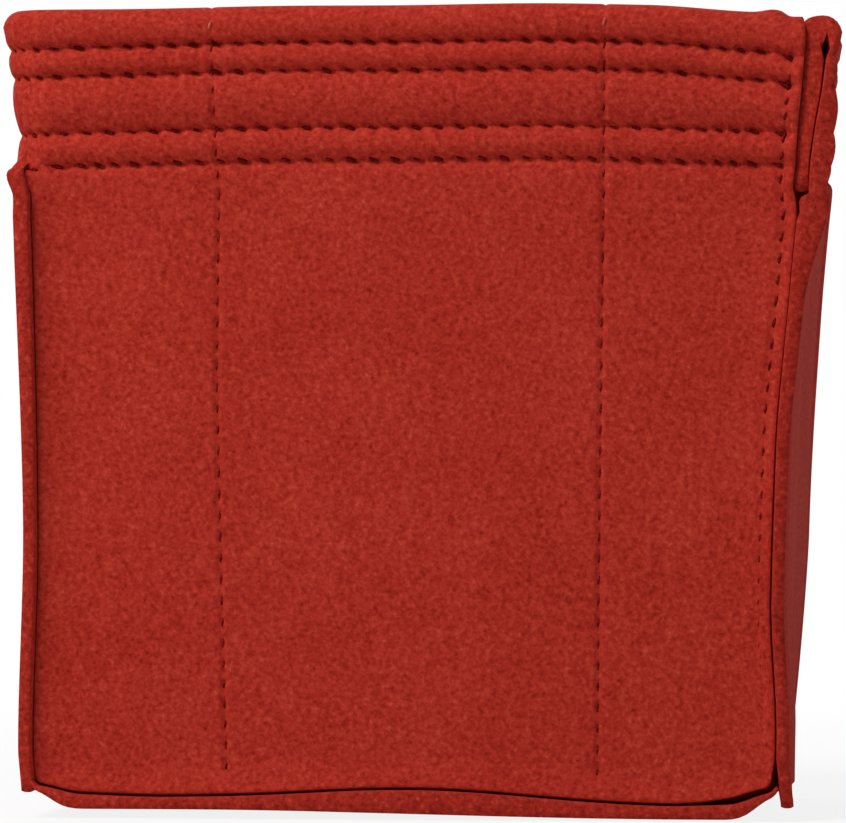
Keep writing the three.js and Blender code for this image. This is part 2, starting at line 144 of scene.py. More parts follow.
# The base and the pockets.
BASE_CURL = math.radians(68)
BASE_END_FELT = 1.0 * MM
BASE_THIN_RUN = 5 * MM  # how far in from the curl the base starts to thin
BASE_COLUMNS = 120
BASE_ROWS = 60
CURL_COLUMNS = 14
POCKET_FELT = 2 * MM
POCKET_SEAM = 41.5 * MM
MIDDLE_POCKET_SWELL = 12 * MM
OUTER_POCKET_SWELL = 10 * MM
SWELL_HEIGHT = 50 * MM
SWELL_AT_BASE_SHARE = 0.35
POCKET_EDGE_DIP = 1.2 * MM  # how far the pockets' top edge sags between the seams
POCKET_DENT_SHARE = 0.7
POCKET_COLUMNS = 150

# The stitches.
THREAD = 0.33 * MM  # radius
THREAD_SIDES = 6
STITCH_POINTS = 9
CORNER_STITCHES = 2
END_STITCHES = 32  # in the front or back panel's field
SIDE_STITCHES = 17
DASH_SHARE = 0.64  # of each stitch shows on the felt, and between two the thread is below
DENT_DEPTH = 0.9 * MM  # how far a stitch draws the felt down
DENT_REACH = 0.46 * MM
DENT_EDGES = (0.1, -0.04)  # in stitches past a dash's end, where its dent starts and is full
STRENGTH_SPREAD = 0.25  # how much the stitches' pull differs
HOLE_LEAD = 0.1  # a line this little before a hole, in stitches, goes with the stitch after it
SEED_STEP = 10  # between panels whose names differ by a letter
INNER_DENT_SHARE = 0.6
UPRIGHT_DENT_SHARE = 0.54
CLOSING_FOOT_SHARE = 0.25  # of the closing seam's dents in the hem that it has at the foot
BLIND_DENT_SHARE = 0.06  # of an upright seam's dents that the other corner seams have
BLIND_RISE = -0.45 * MM  # where their stitches' middles lie
ROW_END_TURNS = (0.9, 0.9 - 1 / 6)  # between which the rows' dents fade at the closing seam
FLANK_REACH = 0.06  # of the turn, beside a corner seam's line
SEAM_GROOVE = 0.25 * MM
CLOSING_GROOVE = 0.5 * MM
SEAM_FOOT_SHARE = 1.05  # of a stitch that the pocket seams run on below the wall's flat face
DIVE = 1.9 * MM  # how deep a stitch's ends go into the felt
STITCH_RISE = -0.56 * MM  # where a stitch's middle lies in its dent
CREST_FROM = 1.5 * MM  # above the top row, where the thread is paled by a painted highlight
CREST_RISE = 0.02 * MM  # and where the pocket seams' last stitches lie on the fold
SLANT_SHARE = -0.3  # of a stitch's length that it leans across its seam

# The sheets' grids.
COLUMNS_PER_STITCH = 6
LEVELS_PER_STITCH = 4
CORNER_COLUMNS = CORNER_STITCHES * COLUMNS_PER_STITCH
BOTTOM_TURNS = [1 - i / CORNER_COLUMNS for i in range(CORNER_COLUMNS)]
SEAM_TURN = 1 - 1 / CORNER_COLUMNS  # the corner seams' stitches lie this far round to the raw edge
CLOSING_SEAM_TURN = 1 - 3 / CORNER_COLUMNS  # and the closing seam's lie further in
FIELD_REACH = 75 * MM  # the end panels' nominal half field
PLAIN_REACH = 62 * MM  # up to here their columns stand upright
SEAM_COLUMNS = [offset * MM for offset in (-1.1, -0.5, 0, 0.5, 1.1)]
CROWD_SHARE = 0.055  # columns nearer than this, in stitches, give way to a seam's own
ROW_OFFSETS = [offset * MM for offset in (-1.7, -1.0, -0.5, -0.2, 0, 0.2, 0.5, 1.0, 1.7)]
LOBE_STEP = 1.3 * MM
FOLD_STEPS = 12
OUTER, FOLD, INNER = 0, 1, 2
RING_SHARES = (0.06, 0.25, 0.5, 0.75, 0.94)
BULGE_POWER = 3
TINY = 1e-12
NEAR_PHASE = 0.01  # a hole this near to a line's end, in stitches, counts as on it

# The materials. Each felt pattern's size, tilt in degrees, stretch and detail: tufts, strands one way
# and the other, and slow changes in density. A real fibre is 0.02 mm, too fine to show, so bundles
# are drawn.
FELT_PATTERNS = (
    (1.2 * MM, 0, 1.0, 2.0),
    (0.8 * MM, 24, 2.2, 1.0),
    (0.8 * MM, -24, 2.2, 1.0),
    (24 * MM, 0, 1.0, 2.0),
)
STRAND_TURN = math.radians(45)
FIBRE_SHARES = (0.46, 0.24, 0.18)
CLOUD_SHARE = 0.12
FACE_RELIEF = 0.16 * MM  # how high the fibres stand on the felt's faces
EDGE_RELIEF = 0.22 * MM  # and on its cut edges
EDGE_LAY = 300 * MM  # how far off in the pattern the cut edges lie, to differ from the faces
THREAD_FIBRE = 0.5 * MM  # the thread's fibres are drawn in bundles too
THREAD_TWIST = 2.2 * MM  # the pattern's length along its two twisted strands
THREAD_RELIEF = 0.08 * MM  # how high the strands stand
FELT_TONES = ((0.33, "841a10"), (0.43, "9e261b"), (0.5, "aa2d21"), (0.59, "b7382a"), (0.7, "c74c3a"))
EDGE_TONES = ((0.34, "7c1810"), (0.45, "972319"), (0.55, "aa2d21"), (0.66, "c04333"))
# Painted shade: the plain thread is darker than the felt, for the shade in the stitches' dents.
THREAD_SHADE_TONES = ((0.3, "5a0604"), (0.5, "740e09"), (0.7, "9a271b"))
# Painted highlight: the thread on the fold's crest is paler, for light catching it there.
THREAD_HIGHLIGHT_TONES = ((0.3, "a03a2a"), (0.5, "b84c3b"), (0.7, "cc6450"))

# The stage.
IMAGE_WIDTH, IMAGE_HEIGHT = 846, 823
FRAME_CENTRE = (404.5, 412)  # the pixel that the middle of the front panel lies on
PIXELS_PER_MM = 4.65
CAMERA_DISTANCE = 1.5
CAMERA_AZIMUTH = math.radians(5.5)
CLIP_RATIO = 100
SENSOR = 36 * MM
FLOOR_RADIUS = 9
FLOOR_SIDES = 64
FLOOR_DROP = 0.05 * MM
WHITE_SHARE = 0.86  # of the paper beside the insert, where it takes the shadow
SHADOW_REACH = 0.55
SHADOW_FULL = SHADOW_REACH / 3  # up to here it takes the whole of it
LIGHTS = {  # each light's place, its diameter and the setting for its strength
    "window": ((-0.5, -0.6, 1.0), 0.5, "key_level"),
    "fill": ((1.4, -0.25, 0.5), 1.0, "fill_level"),
    "rear": ((-0.6, 1.2, 0.9), 1.0, "rear_level"),
}

# The slackness that the photograph shows in the whole piece. Each way in which the felt gives is a
# distance and the windows where it does: where they start and where they are full, along the places
# that the function `places` names. A third value makes a window a straight rise with that power. Last
# come the peaks, each with its middle and its reach.
HEM_SPREAD_FROM = 60 * MM
CORNER_SPREAD_FROM = 58 * MM
MIDDLE_ROWS_SHARE = 0.2
FIN_FROM_SHARE = 0.42
FRONT = {"y": (0, -20 * MM)}
REAR_RIGHT = {"y": (-30 * MM, 40 * MM), "x": (0, 40 * MM)}
LEFT_EDGE = {**FRONT, "left_corner_share": (0, 1), "over_hem_end": (5 * MM, -7 * MM)}
RIGHT_EDGE = {**FRONT, "right_corner_share": (0, 1), "over_hem_end": (5 * MM, -7 * MM)}
SIDEWAYS_SLACK = {
    "the mouth sits to the right of the base": (2.3 * MM, {"height_share": (0, 1, 1.6)}),
    "the hem's left end leans out": (
        -3.6 * MM,
        {"over_hem_end": (0, HEM_DEPTH, 0.75), "leftward_share": (0, 1, 1)},
    ),
    "the hem's right end leans out": (
        0.5 * MM,
        {"height_share": (0.63, 0.8), "rightward_share": (2 / 3, 1)},
    ),
    "the left pocket seam's foot runs in": (
        3.2 * MM,
        {**FRONT, "beside_left_seam": (32 * MM, 0), "z": (95 * MM, 0, 1)},
    ),
    "the closing seam swings out below the folded layer's end": (
        0.2 * MM,
        {**FRONT, "past_right": (-2.6 * MM, -0.6 * MM)},
        {"over_hem_end": (-5 * MM, 10 * MM)},
    ),
    "the rear right corner is drawn in at the floor": (-4.3 * MM, {**REAR_RIGHT, "z": (60 * MM, 0, 1.5)}),
    "the rear right corner stands out above": (1.6 * MM, REAR_RIGHT),
    "the left rib's top end stands out": (
        -1.7 * MM,
        {**FRONT, "x": (-70 * MM, -78 * MM)},
        {"over_rib": (0, 4.5 * MM)},
    ),
    "the front's left edge is drawn out": (-1.3 * MM, LEFT_EDGE),
    "and further at its foot": (-1.3 * MM, {**LEFT_EDGE, "z": (65 * MM, 15 * MM)}),
    "the front's right edge is drawn out": (0.6 * MM, RIGHT_EDGE),
    "and further at its own foot": (1.6 * MM, {**RIGHT_EDGE, "z": (48 * MM, 18 * MM)}),
    "and below the hem": (1.3 * MM, {**RIGHT_EDGE, "z": (80 * MM, 118 * MM)}),
}
ROW_ENDS = {"end_share": (0, 1, 4), "over_rib": (-12 * MM, 0)}
BASE_FRONT = {"y": (-4 * MM, -38 * MM), "z": (40 * MM, 0)}
BASE_CORNER = {**FRONT, "z": (26 * MM, 0)}
BASE_EDGE = {
    "past_fin": (0, 6 * MM),
    "felt_share": (0, 1, 1),
    "z": (30 * MM, 0),
    "across": (74.8 * MM, 52.8 * MM),
}
UPWARD_SLACK = {
    "the rows sag towards the ends": (-1.5 * MM, ROW_ENDS),
    "but the fold less": (0.825 * MM, {**ROW_ENDS, "over_top_row": (0, ROW_SHARES[0] * HEM_DEPTH)}),
    "the upper rows sink at the closing seam": (
        -1.3 * MM,
        {**FRONT, "over_middle_rows": (0, 8 * MM), "x": (50 * MM, 75 * MM)},
    ),
    "the side's hem stands lower there": (
        -0.9 * MM,
        {"past_right": (-5 * MM, -2.6 * MM), "y": (20 * MM, -30 * MM), "over_low_row": (0, 25 * MM)},
    ),
    "the fold's corner beside it points up": (
        0.6 * MM,
        {**FRONT, "over_top_row": (0, 6 * MM)},
        {"past_right": (-6.5 * MM, 2.5 * MM)},
    ),
    "the base's raw edge curls off the floor": (0.4 * MM, BASE_FRONT),
    "most of all at the left": (1.6 * MM, {**BASE_FRONT, "x": (60 * MM, -50 * MM)}),
    "the base's left corner turns up": (1.8 * MM, {**BASE_CORNER, "past_left": (-9 * MM, 0)}),
    "and its right corner": (2.6 * MM, {**BASE_CORNER, "past_right": (-9 * MM, 0)}),
    "the base's front edge is thick in the middle": (2.7 * MM, BASE_EDGE, {"x": (5 * MM, 34 * MM)}),
    "and thins to its ends": (-0.8 * MM, BASE_EDGE),
}
EDGE_WAVE = 0.2 * MM  # how unevenly the hem's rows run
WAVE_LENGTHS = (21 * MM, 9 * MM, 30 * MM)  # a long wave's along X, and a short one's along X and Y
WAVE_PHASE = 0.8
SHORT_WAVE_SHARE = 0.6


# Small helpers.


def mix(a, b, share):
    return a + (b - a) * share


def smooth(value):
    value = np.clip(value, 0, 1)
    return value * value * (3 - 2 * value)


def ramp(value, start, full):
    """0 before start and 1 past full, which may lie below it, with a smooth rise between."""
    return smooth((value - start) / (full - start))


def bump(value, middle, reach):
    return np.exp(-(((value - middle) / reach) ** 2))


def unit(vectors):
    return vectors / np.maximum(np.linalg.norm(vectors, axis=-1, keepdims=True), TINY)


def noise_line(count, seed):
    """Repeatable values from -1 to 1, one for each stitch."""
    return np.random.default_rng(seed).uniform(-1, 1, count)


# The felt's form.


@dataclass(frozen=True)
class Form:
    """Where the felt's faces lie, from the sizes that a user sets."""

    height: float
    width: float
    depth: float
    felt: float
    pitch: float
    pocket_height: float

    @property
    def fold_radius(self):
        return self.felt + FOLD_GAP / 2 + PUFF

    @property
    def fold_start(self):
        return self.height - self.fold_radius

    @property
    def rows(self):
        """The rows' heights, from the lowest up."""
        return [self.height - share * HEM_DEPTH for share in reversed(ROW_SHARES)]

    @property
    def hem_end(self):
        return self.height - HEM_DEPTH

    @property
    def rib_top(self):
        return self.rows[0] - RIB_DROP

    @property
    def sweep_run(self):
        """How wide the sweeping margins are in plan."""
        return sweep(1, "back", self.felt)[0]

    @property
    def wall_foot(self):
        """Where the end panels' faces start to sweep outward to their bottom edges."""
        return self.felt + SEWN_GAP + self.sweep_run

    @property
    def seam_foot(self):
        """Where the upright pocket seams end, one stitch down the sweep to the bottom edge."""
        return self.wall_foot - SEAM_FOOT_SHARE * self.pitch

    @property
    def seat_centre(self):
        """The height of the middle that the base's ends turn up round."""
        return self.felt + SEWN_GAP + BOTTOM_CORNER

    @property
    def side_foot(self):
        """Where the side panels' lower edges stand on the base's upturned ends."""
        return self.seat_centre - (BOTTOM_CORNER + SEWN_GAP) * math.cos(BASE_CURL) + SEWN_GAP

    def rise(self, z):
        return (np.maximum(z, 0) / self.height) ** FLARE_POWER

    def side_face(self, z):
        return self.width / 2 + SIDE_FLARE * self.rise(z)

    def end_face(self, z):
        return self.depth / 2 + END_FLARE * self.rise(z)

    def margin_face(self, z):
        return self.side_face(z) - self.felt - SEWN_GAP

    def rows_share(self, z):
        """0 at the folded layer's end and 1 from the lowest row up."""
        return ramp(z, self.hem_end, self.rows[0])

    def rib_share(self, z):
        """0 where the corner seams have margins and 1 where the hem runs on round the corner."""
        return ramp(z, self.rib_top, self.rib_top + RIB_TAPER)

    def closing_gap(self, z):
        """How much wider the closing seam gapes at its raw edges."""
        return mix(CLOSING_GAP, CLOSING_TOP_GAP, ramp(z / self.height, *GAP_HEIGHT_SHARES))

    def lean(self, z, stand):
        """How far a margin leans outward where it stands out this far."""
        return MARGIN_LEAN * (np.maximum(stand, 0) / MARGIN) * ramp(z, self.felt, self.felt + LEAN_RISE)

    def puff(self, z):
        """How far the felt's outer face stands out: sunk at the rows, full between them."""
        z = np.asarray(z, float)
        rows = self.rows
        low = -ROW_SINK * ramp(z, rows[0] - ROW_FALL, rows[0]) ** 2
        out = np.where(z <= rows[0], low, PUFF)
        for bottom, top in zip(rows, [*rows[1:], self.fold_start]):
            share = np.clip((z - bottom) / (top - bottom), 0, 1)
            at_fold = top == self.fold_start
            arc = math.pi / 2 if at_fold else math.pi
            full = np.sin(arc * share**LOBE_LEAN) ** LOBE_POWER
            wide = 1 if at_fold else min(mix(NARROW_LOBE_SHARE, 1, (top - bottom) / WIDE_LOBE), 1)
            out = np.where((z > bottom) & (z <= top), mix(-ROW_SINK, PUFF * wide, full), out)
        return out

    def layer_depth(self, layer, z, calm=0):
        """How deep one of the felt's four faces lies below the wall's outer face."""
        puff = self.puff(z) * (1 - calm * ramp(z, self.rows[-1] + CALM_FADE, self.rows[-1]))
        swell = np.maximum(puff, 0)
        return {
            "outside": -puff,
            "outside_back": self.felt - swell,
            "inside_back": self.felt + FOLD_GAP + swell,
            "inside": 2 * self.felt + FOLD_GAP + puff,
        }[layer]


def places(form, x, y, z):
    """The places along which the slackness starts and ends."""
    edge = form.margin_face(z)
    half = form.width / 2
    return {
        "x": x,
        "y": y,
        "z": z,
        "across": np.abs(x),
        "past_right": x - edge,
        "past_left": -x - edge,
        "past_fin": -y - FIN_FROM_SHARE * form.depth,
        "beside_left_seam": np.abs(x + POCKET_SEAM),
        "end_share": np.abs(x) / half,
        "rightward_share": x / half,
        "leftward_share": (HEM_SPREAD_FROM - x) / (HEM_SPREAD_FROM + half),
        "right_corner_share": (x - CORNER_SPREAD_FROM) / (edge - CORNER_SPREAD_FROM),
        "left_corner_share": (-x - CORNER_SPREAD_FROM) / (edge - CORNER_SPREAD_FROM),
        "felt_share": z / form.felt,
        "height_share": z / form.height,
        "over_hem_end": z - form.hem_end,
        "over_rib": z - form.rib_top,
        "over_low_row": z - form.rows[0],
        "over_middle_rows": z - mix(form.rows[1], form.rows[2], MIDDLE_ROWS_SHARE),
        "over_top_row": z - form.rows[-1],
    }


def given_way(slack, at):
    """How far points move by all the ways in which the felt gives."""
    total = 0
    for amount, windows, *peaks in slack.values():
        share = 1
        for place, (start, full, *power) in windows.items():
            straight = (at[place] - start) / (full - start)
            share = share * (np.clip(straight, 0, 1) ** power[0] if power else smooth(straight))
        for peak in peaks:
            for place, (middle, reach) in peak.items():
                share = share * bump(at[place], middle, reach)
        total = total + amount * share
    return total


def settle(points, form):
    """Moves points as the real piece's slackness does."""
    points = np.array(points, float)
    x, y, z = (points[..., k].copy() for k in range(3))
    at = places(form, x, y, z)
    long, short, inward = WAVE_LENGTHS
    wave = np.sin(x / long + WAVE_PHASE) + SHORT_WAVE_SHARE * np.sin(x / short + y / inward)
    in_hem = ramp(at["over_rib"], *ROW_ENDS["over_rib"])
    points[..., 0] = x + given_way(SIDEWAYS_SLACK, at)
    points[..., 2] = z + given_way(UPWARD_SLACK, at) + EDGE_WAVE * wave * in_hem
    return points


# The plan of the panels. Each places a point that lies this far along it, out from it and up.

PANELS = {
    "front": lambda along, out, z: np.stack([along, -out, z], -1),
    "back": lambda along, out, z: np.stack([-along, out, z], -1),
    "right": lambda along, out, z: np.stack([out, -along, z], -1),
    "left": lambda along, out, z: np.stack([-out, along, z], -1),
}
END_PANELS = ("front", "back")
CLOSING_PANELS = ("front", "right")  # the closing seam joins their far ends


def is_closing(panel, end):
    return panel in CLOSING_PANELS and end > 0


@dataclass(frozen=True)
class Station:
    """One upright line on a panel: at a share of its field, or on the way round one of its ends."""

    end: int
    field: float
    turn: float
    phase: float  # counted in stitches from the panel's first edge


@lru_cache(maxsize=None)
def sweep(share, side, felt):
    """How far a margin has run past the field, and how far it stands out, on one side of the felt.
    Its raw edge is cut square to the wall."""
    steps = (np.arange(SWEEP_STEPS) + 0.5) / SWEEP_STEPS * share
    turns = SWEEP_TURN * steps**SWEEP_POWER
    turn = SWEEP_TURN * share**SWEEP_POWER
    half = felt / 2 if side == "face" else -felt / 2
    run = SWEEP * share * np.cos(turns).mean() - half * math.sin(turn) * (1 - share**SQUARE_POWER)
    stand = SWEEP * share * np.sin(turns).mean() - felt / 2 + half * math.cos(turn)
    return float(run), float(stand)


def hem_corner(along_face, out_face, depth, angle):
    """A point on the hem's rounded corner."""
    radius = HEM_CORNER - depth
    return (
        along_face - HEM_CORNER + radius * math.sin(angle),
        out_face - HEM_CORNER + radius * math.cos(angle),
    )


def in_field(station, field):
    """How far from the middle of an end panel a station lies, in a field that reaches this far."""
    x = abs(station.field) * FIELD_REACH
    beyond = max(x - PLAIN_REACH, 0) / (FIELD_REACH - PLAIN_REACH)
    return min(x, PLAIN_REACH) + (field - PLAIN_REACH) * beyond


def end_plan(form, station, z, layer, closing):
    """(along, out) of a station on the front or back panel."""
    share = station.turn
    out = form.end_face(z)
    depth = form.layer_depth(layer, z, SIDE_CALM_SHARE * ramp(share, 0, CALM_TURN_SHARE))
    hem_share = 0 if closing else form.rib_share(z)
    field = form.margin_face(z) - form.sweep_run
    if not share:
        return in_field(station, mix(field, form.side_face(z) - HEM_CORNER, hem_share)), out - depth
    folded = layer.startswith("inside")
    if closing and folded:
        return mix(field, form.margin_face(z) - BASE_END_FELT, share), out - depth
    run, stand = sweep(share, "face" if layer == "outside" else "back", form.felt)
    swell = form.puff(z) if layer == "outside" else np.maximum(form.puff(z), 0)
    ease = ramp(share, *FRONT_EASE_TURNS) if closing else 1 - share
    along = field + run + form.lean(z, stand)
    outward = out + stand + swell * ease
    if closing:
        shift = CLOSING_SHIFT * form.rows_share(z) * share**2
        return along + shift - form.closing_gap(z) * share**GAP_POWER, outward
    round_along, round_out = hem_corner(form.side_face(z), out, depth, math.pi / 4 * share)
    hem_share = 1 if folded else hem_share
    return mix(along, round_along, hem_share), mix(outward, round_out, hem_share)


def side_plan(form, station, z, layer, closing):
    """(along, out) of a station on a side panel, whose margins run nearly straight on."""
    share = station.turn
    end_face = form.end_face(z)
    field = end_face - HEM_CORNER
    calm = SIDE_CALM_SHARE
    if closing:
        at_end = CLOSING_CALM_SHARE if layer == "outside" else 1
        calm = mix(calm, at_end, min(share / CLOSING_CALM_TURN_SHARE, 1))
    depth = form.layer_depth(layer, z, calm)
    along = mix(field, end_face, min(share / SIDE_TURNED_SHARE, 1)) if share else abs(station.field) * field
    past_fold = max(share - SIDE_TURNED_SHARE, 0) / (1 - SIDE_TURNED_SHARE)
    along = along + (MARGIN - (CUT_BACK[layer] if closing else 0)) * past_fold
    out = form.side_face(z) - depth + form.lean(z, along - end_face)
    near = ramp(share, 0, SIDE_TURNED_SHARE)
    if layer == "outside":
        out = out - SEAM_PINCH * near * ramp(z, PINCH_TOP, PINCH_TOP / 2)
    if closing:
        return along, out + closing_push(form, z, layer, along - end_face, near)
    if not share:
        return along, out
    angle = math.pi / 2 - math.pi / 4 * share
    round_out, round_along = hem_corner(form.side_face(z), end_face, depth, angle)
    hem_share = 1 if layer.startswith("inside") else form.rib_share(z)
    return mix(along, round_along, hem_share), mix(out, round_out, hem_share)


def closing_push(form, z, layer, past_end, near):
    """How far out the side panel's hem is pushed on its way to the closing seam, where the front's
    folded-in layer lies behind it."""
    taper = OUTER_TAPER if layer == "outside" else CLOSING_TAPER
    push = (form.felt + FOLD_GAP) * ramp(z, form.hem_end - taper, form.hem_end)
    push = push * ramp(past_end, -CLOSING_RUN, -HEM_CORNER)
    if layer == "outside":
        eased = 1 - SWELL_EASE_SHARE * ramp(z, form.rows[1], form.rows[-1])
        return push + CLOSING_SWELL * near * form.rows_share(z) * eased
    if layer == "inside":
        return push + CLOSING_SHIFT * near * form.rows_share(z)
    hollow = SLIT_HOLLOW * ramp(z - form.fold_start, *SLIT_RISE) - SLIT_PRESSED
    swell = CLOSING_SWELL * ramp(z, form.hem_end, form.hem_end + BACK_SWELL_SHARE * HEM_DEPTH)
    return push + near * (swell + (hollow if layer == "outside_back" else -hollow))


def stations_of(panel):
    """The upright lines of a panel, from left to right as seen from outside: six to a stitch, with
    more beside the pocket seams."""
    is_end = panel in END_PANELS
    stitches = END_STITCHES if is_end else SIDE_STITCHES
    last = stitches + 2 * CORNER_STITCHES
    phases = {round(i / COLUMNS_PER_STITCH, 4) for i in range(COLUMNS_PER_STITCH * last + 1)}
    if is_end:
        for x in (side * POCKET_SEAM + offset for side in (-1, 1) for offset in SEAM_COLUMNS):
            exact = CORNER_STITCHES + stitches * (x / FIELD_REACH + 1) / 2
            phases = {p for p in phases if abs(p - exact) >= CROWD_SHARE} | {exact}
    found = []
    for phase in sorted(phases):
        field = 2 * (phase - CORNER_STITCHES) / stitches - 1
        turn = 0.0
        if phase < CORNER_STITCHES:
            turn, field = 1 - phase / CORNER_STITCHES, -1
        elif phase > last - CORNER_STITCHES:
            turn, field = 1 - (last - phase) / CORNER_STITCHES, 1
        found.append(Station(1 if field > 0 else -1, field, round(turn, 5), phase))
    if not is_end:
        found = [Station(s.end, s.field, s.turn, last - s.phase) for s in reversed(found)]
    return found


def spaced(low, high, step):
    """Values from low up to high, about a step apart, with high left out."""
    count = max(round((high - low) / step), 1)
    return [mix(low, high, i / count) for i in range(count)]


def outer_levels(form, foot):
    """Heights up the outer layer, from the foot to the start of the fold."""
    levels = spaced(foot, form.rows[0] + ROW_OFFSETS[0], form.pitch / LEVELS_PER_STITCH)
    stops = [*form.rows, form.fold_start]
    for row, above in zip(stops, stops[1:]):
        levels += [row + offset for offset in ROW_OFFSETS if row + offset < above - LOBE_STEP / 2]
        lobe_end = above + ROW_OFFSETS[0] if above != form.fold_start else above
        levels += spaced(row + ROW_OFFSETS[-1], lobe_end, LOBE_STEP)[1:]
    return np.array(sorted(set(levels)))


@dataclass(frozen=True)
class Surface:
    """A panel's felt as two grids of points, [station, level], with what each line stands for."""

    stations: list
    face: np.ndarray
    back: np.ndarray
    layer: np.ndarray
    height: np.ndarray

    @property
    def phases(self):
        return np.array([station.phase for station in self.stations])

    @property
    def fields(self):
        """How far to the right of an end panel's middle each station lies."""
        return np.array([station.field * FIELD_REACH for station in self.stations])

    def level(self, layer, height):
        """The index of a layer's level nearest to a height."""
        return int(np.argmin(np.abs(self.height - height) + (self.layer != layer)))


def felt_lines(form, panel, station, outer, inner):
    """One station's line on the face and on the back: up the outer layer, over the fold and down
    the folded-in layer."""
    plan = end_plan if panel in END_PANELS else side_plan
    closing = is_closing(panel, station.end)
    angles = np.arange(1, FOLD_STEPS) * math.pi / FOLD_STEPS
    over = (1 - np.cos(angles)) / 2
    heights = np.concatenate([outer, [form.fold_start], inner])
    squared = ramp(station.turn, 0, SIDE_TURNED_SHARE) if closing and panel == "right" else 0
    power = np.where(angles > math.pi / 2, mix(1, SQUARE_FOLD, squared), 1)
    count = len(outer)
    lines = []
    for radius, *layers in (
        (form.fold_radius, "outside", "inside"),
        (form.fold_radius - form.felt, "outside_back", "inside_back"),
    ):
        up, down = (
            np.stack(np.broadcast_arrays(*plan(form, station, heights, layer, closing)))
            for layer in layers
        )
        fold = mix(up[:, count, None], down[:, count, None], over)
        path = np.concatenate([up[:, :count], fold, down[:, count + 1 :]], axis=1)
        z = np.concatenate([outer, form.fold_start + radius * np.sin(angles) ** power, inner])
        lines.append(PANELS[panel](station.end * path[0], path[1], z))
    return lines


def ring_corner(reach, radius, share):
    """A point on a rounded square corner, from its axis (share 0) to its diagonal (share 1)."""
    straight = reach - radius
    gone = share * (straight + radius * math.pi / 4)
    if gone <= straight or not radius:
        return min(gone, reach), reach
    angle = (gone - straight) / radius
    return straight + radius * math.sin(angle), straight + radius * math.cos(angle)


def bottom_margin(form, panel, station, side):
    """One station's line on the end panels' bottom margin, from its raw edge up to the wall's foot.
    At the bottom corners it runs round: equal turns form a ring."""
    points = []
    for down in BOTTOM_TURNS:
        ring = max(station.turn, down)
        reach, stand = sweep(ring, side, form.felt)
        radius = max(BOTTOM_CORNER - form.sweep_run + reach, 0)
        sideways, drop = ring_corner(reach, radius, min(station.turn, down) / ring)
        if station.turn >= down:
            sideways, drop = drop, sideways
        z = form.wall_foot - drop
        field = form.margin_face(z) - form.sweep_run
        along = in_field(station, field)
        if station.turn:
            along = field + sideways + form.lean(z, stand) * station.turn
        free = smooth(drop / reach)
        if is_closing(panel, station.end):
            along -= (form.closing_gap(z) + CORNER_TUCK * free) * station.turn**GAP_POWER
        z += EDGE_GAPE * ring**3 * free
        if station.end > 0:
            corner = form.margin_face(z) - CORNER_GAPE_REACH
            z += CORNER_GAPE * bump(along, corner, CORNER_GAPE_REACH) * ring**2 * free
        points.append((station.end * along, form.end_face(z) + stand, z))
    return PANELS[panel](*np.array(points).T)


def hanging_strip(form, panel, station, line):
    """The side panels' front margins reach lower than the rear ones and kick out a little."""
    end, drop, kick = HANGING_STRIPS.get(panel, (0, 0, 0))
    if station.end != end:
        return line
    low = 1 - ramp(line[:, 2], form.side_foot, form.side_foot + STRIP_RISE)
    share = ramp(station.turn, 0, STRIP_TURN_SHARE) * low
    return line + share[:, None] * np.array([kick, 0, -drop])


@lru_cache(maxsize=None)
def panel_surface(form, panel):
    """A wall panel's felt before any stitch has drawn it down."""
    is_end = panel in END_PANELS
    outer = outer_levels(form, form.wall_foot if is_end else form.side_foot)
    inner = np.append(outer[outer >= form.rows[0] + ROW_OFFSETS[0]][::-1], form.hem_end)
    stations = stations_of(panel)
    grids = []
    for station in stations:
        pair = felt_lines(form, panel, station, outer, inner)
        if is_end:
            margins = [bottom_margin(form, panel, station, side) for side in ("face", "back")]
            pair = [np.concatenate([margin, line]) for margin, line in zip(margins, pair)]
        grids.append([hanging_strip(form, panel, station, line) for line in pair])
    face, back = np.array(grids).swapaxes(0, 1)
    below = len(BOTTOM_TURNS) if is_end else 0
    layer = np.repeat([OUTER, FOLD, INNER], [below + len(outer), FOLD_STEPS - 1, len(inner)])
    swept = face[len(stations) // 2, :below, 2]
    height = np.concatenate([swept, outer, np.full(FOLD_STEPS - 1, form.height), inner])
    return Surface(stations, face, back, layer, height)


def grid_normals(grid):
    """Outward normals of a grid of points, found from each point's neighbours."""
    return unit(np.cross(np.gradient(grid, axis=0), np.gradient(grid, axis=1)))


# The dents under the stitches.


def from_dash(phase):
    """How far a phase, counted in stitches, lies from the middle of its dash."""
    return (phase - DASH_SHARE / 2 + 0.5) % 1 - 0.5


def dent(phase):
    """1 under a stitch and 0 on the felt between two."""
    start, full = (DASH_SHARE / 2 + edge for edge in DENT_EDGES)
    return ramp(np.abs(from_dash(phase)), start, full)


def seam_phase(form, z):
    """The upright seams' phase at a height: their holes fall on the wall's levels."""
    return (z - form.wall_foot) / form.pitch


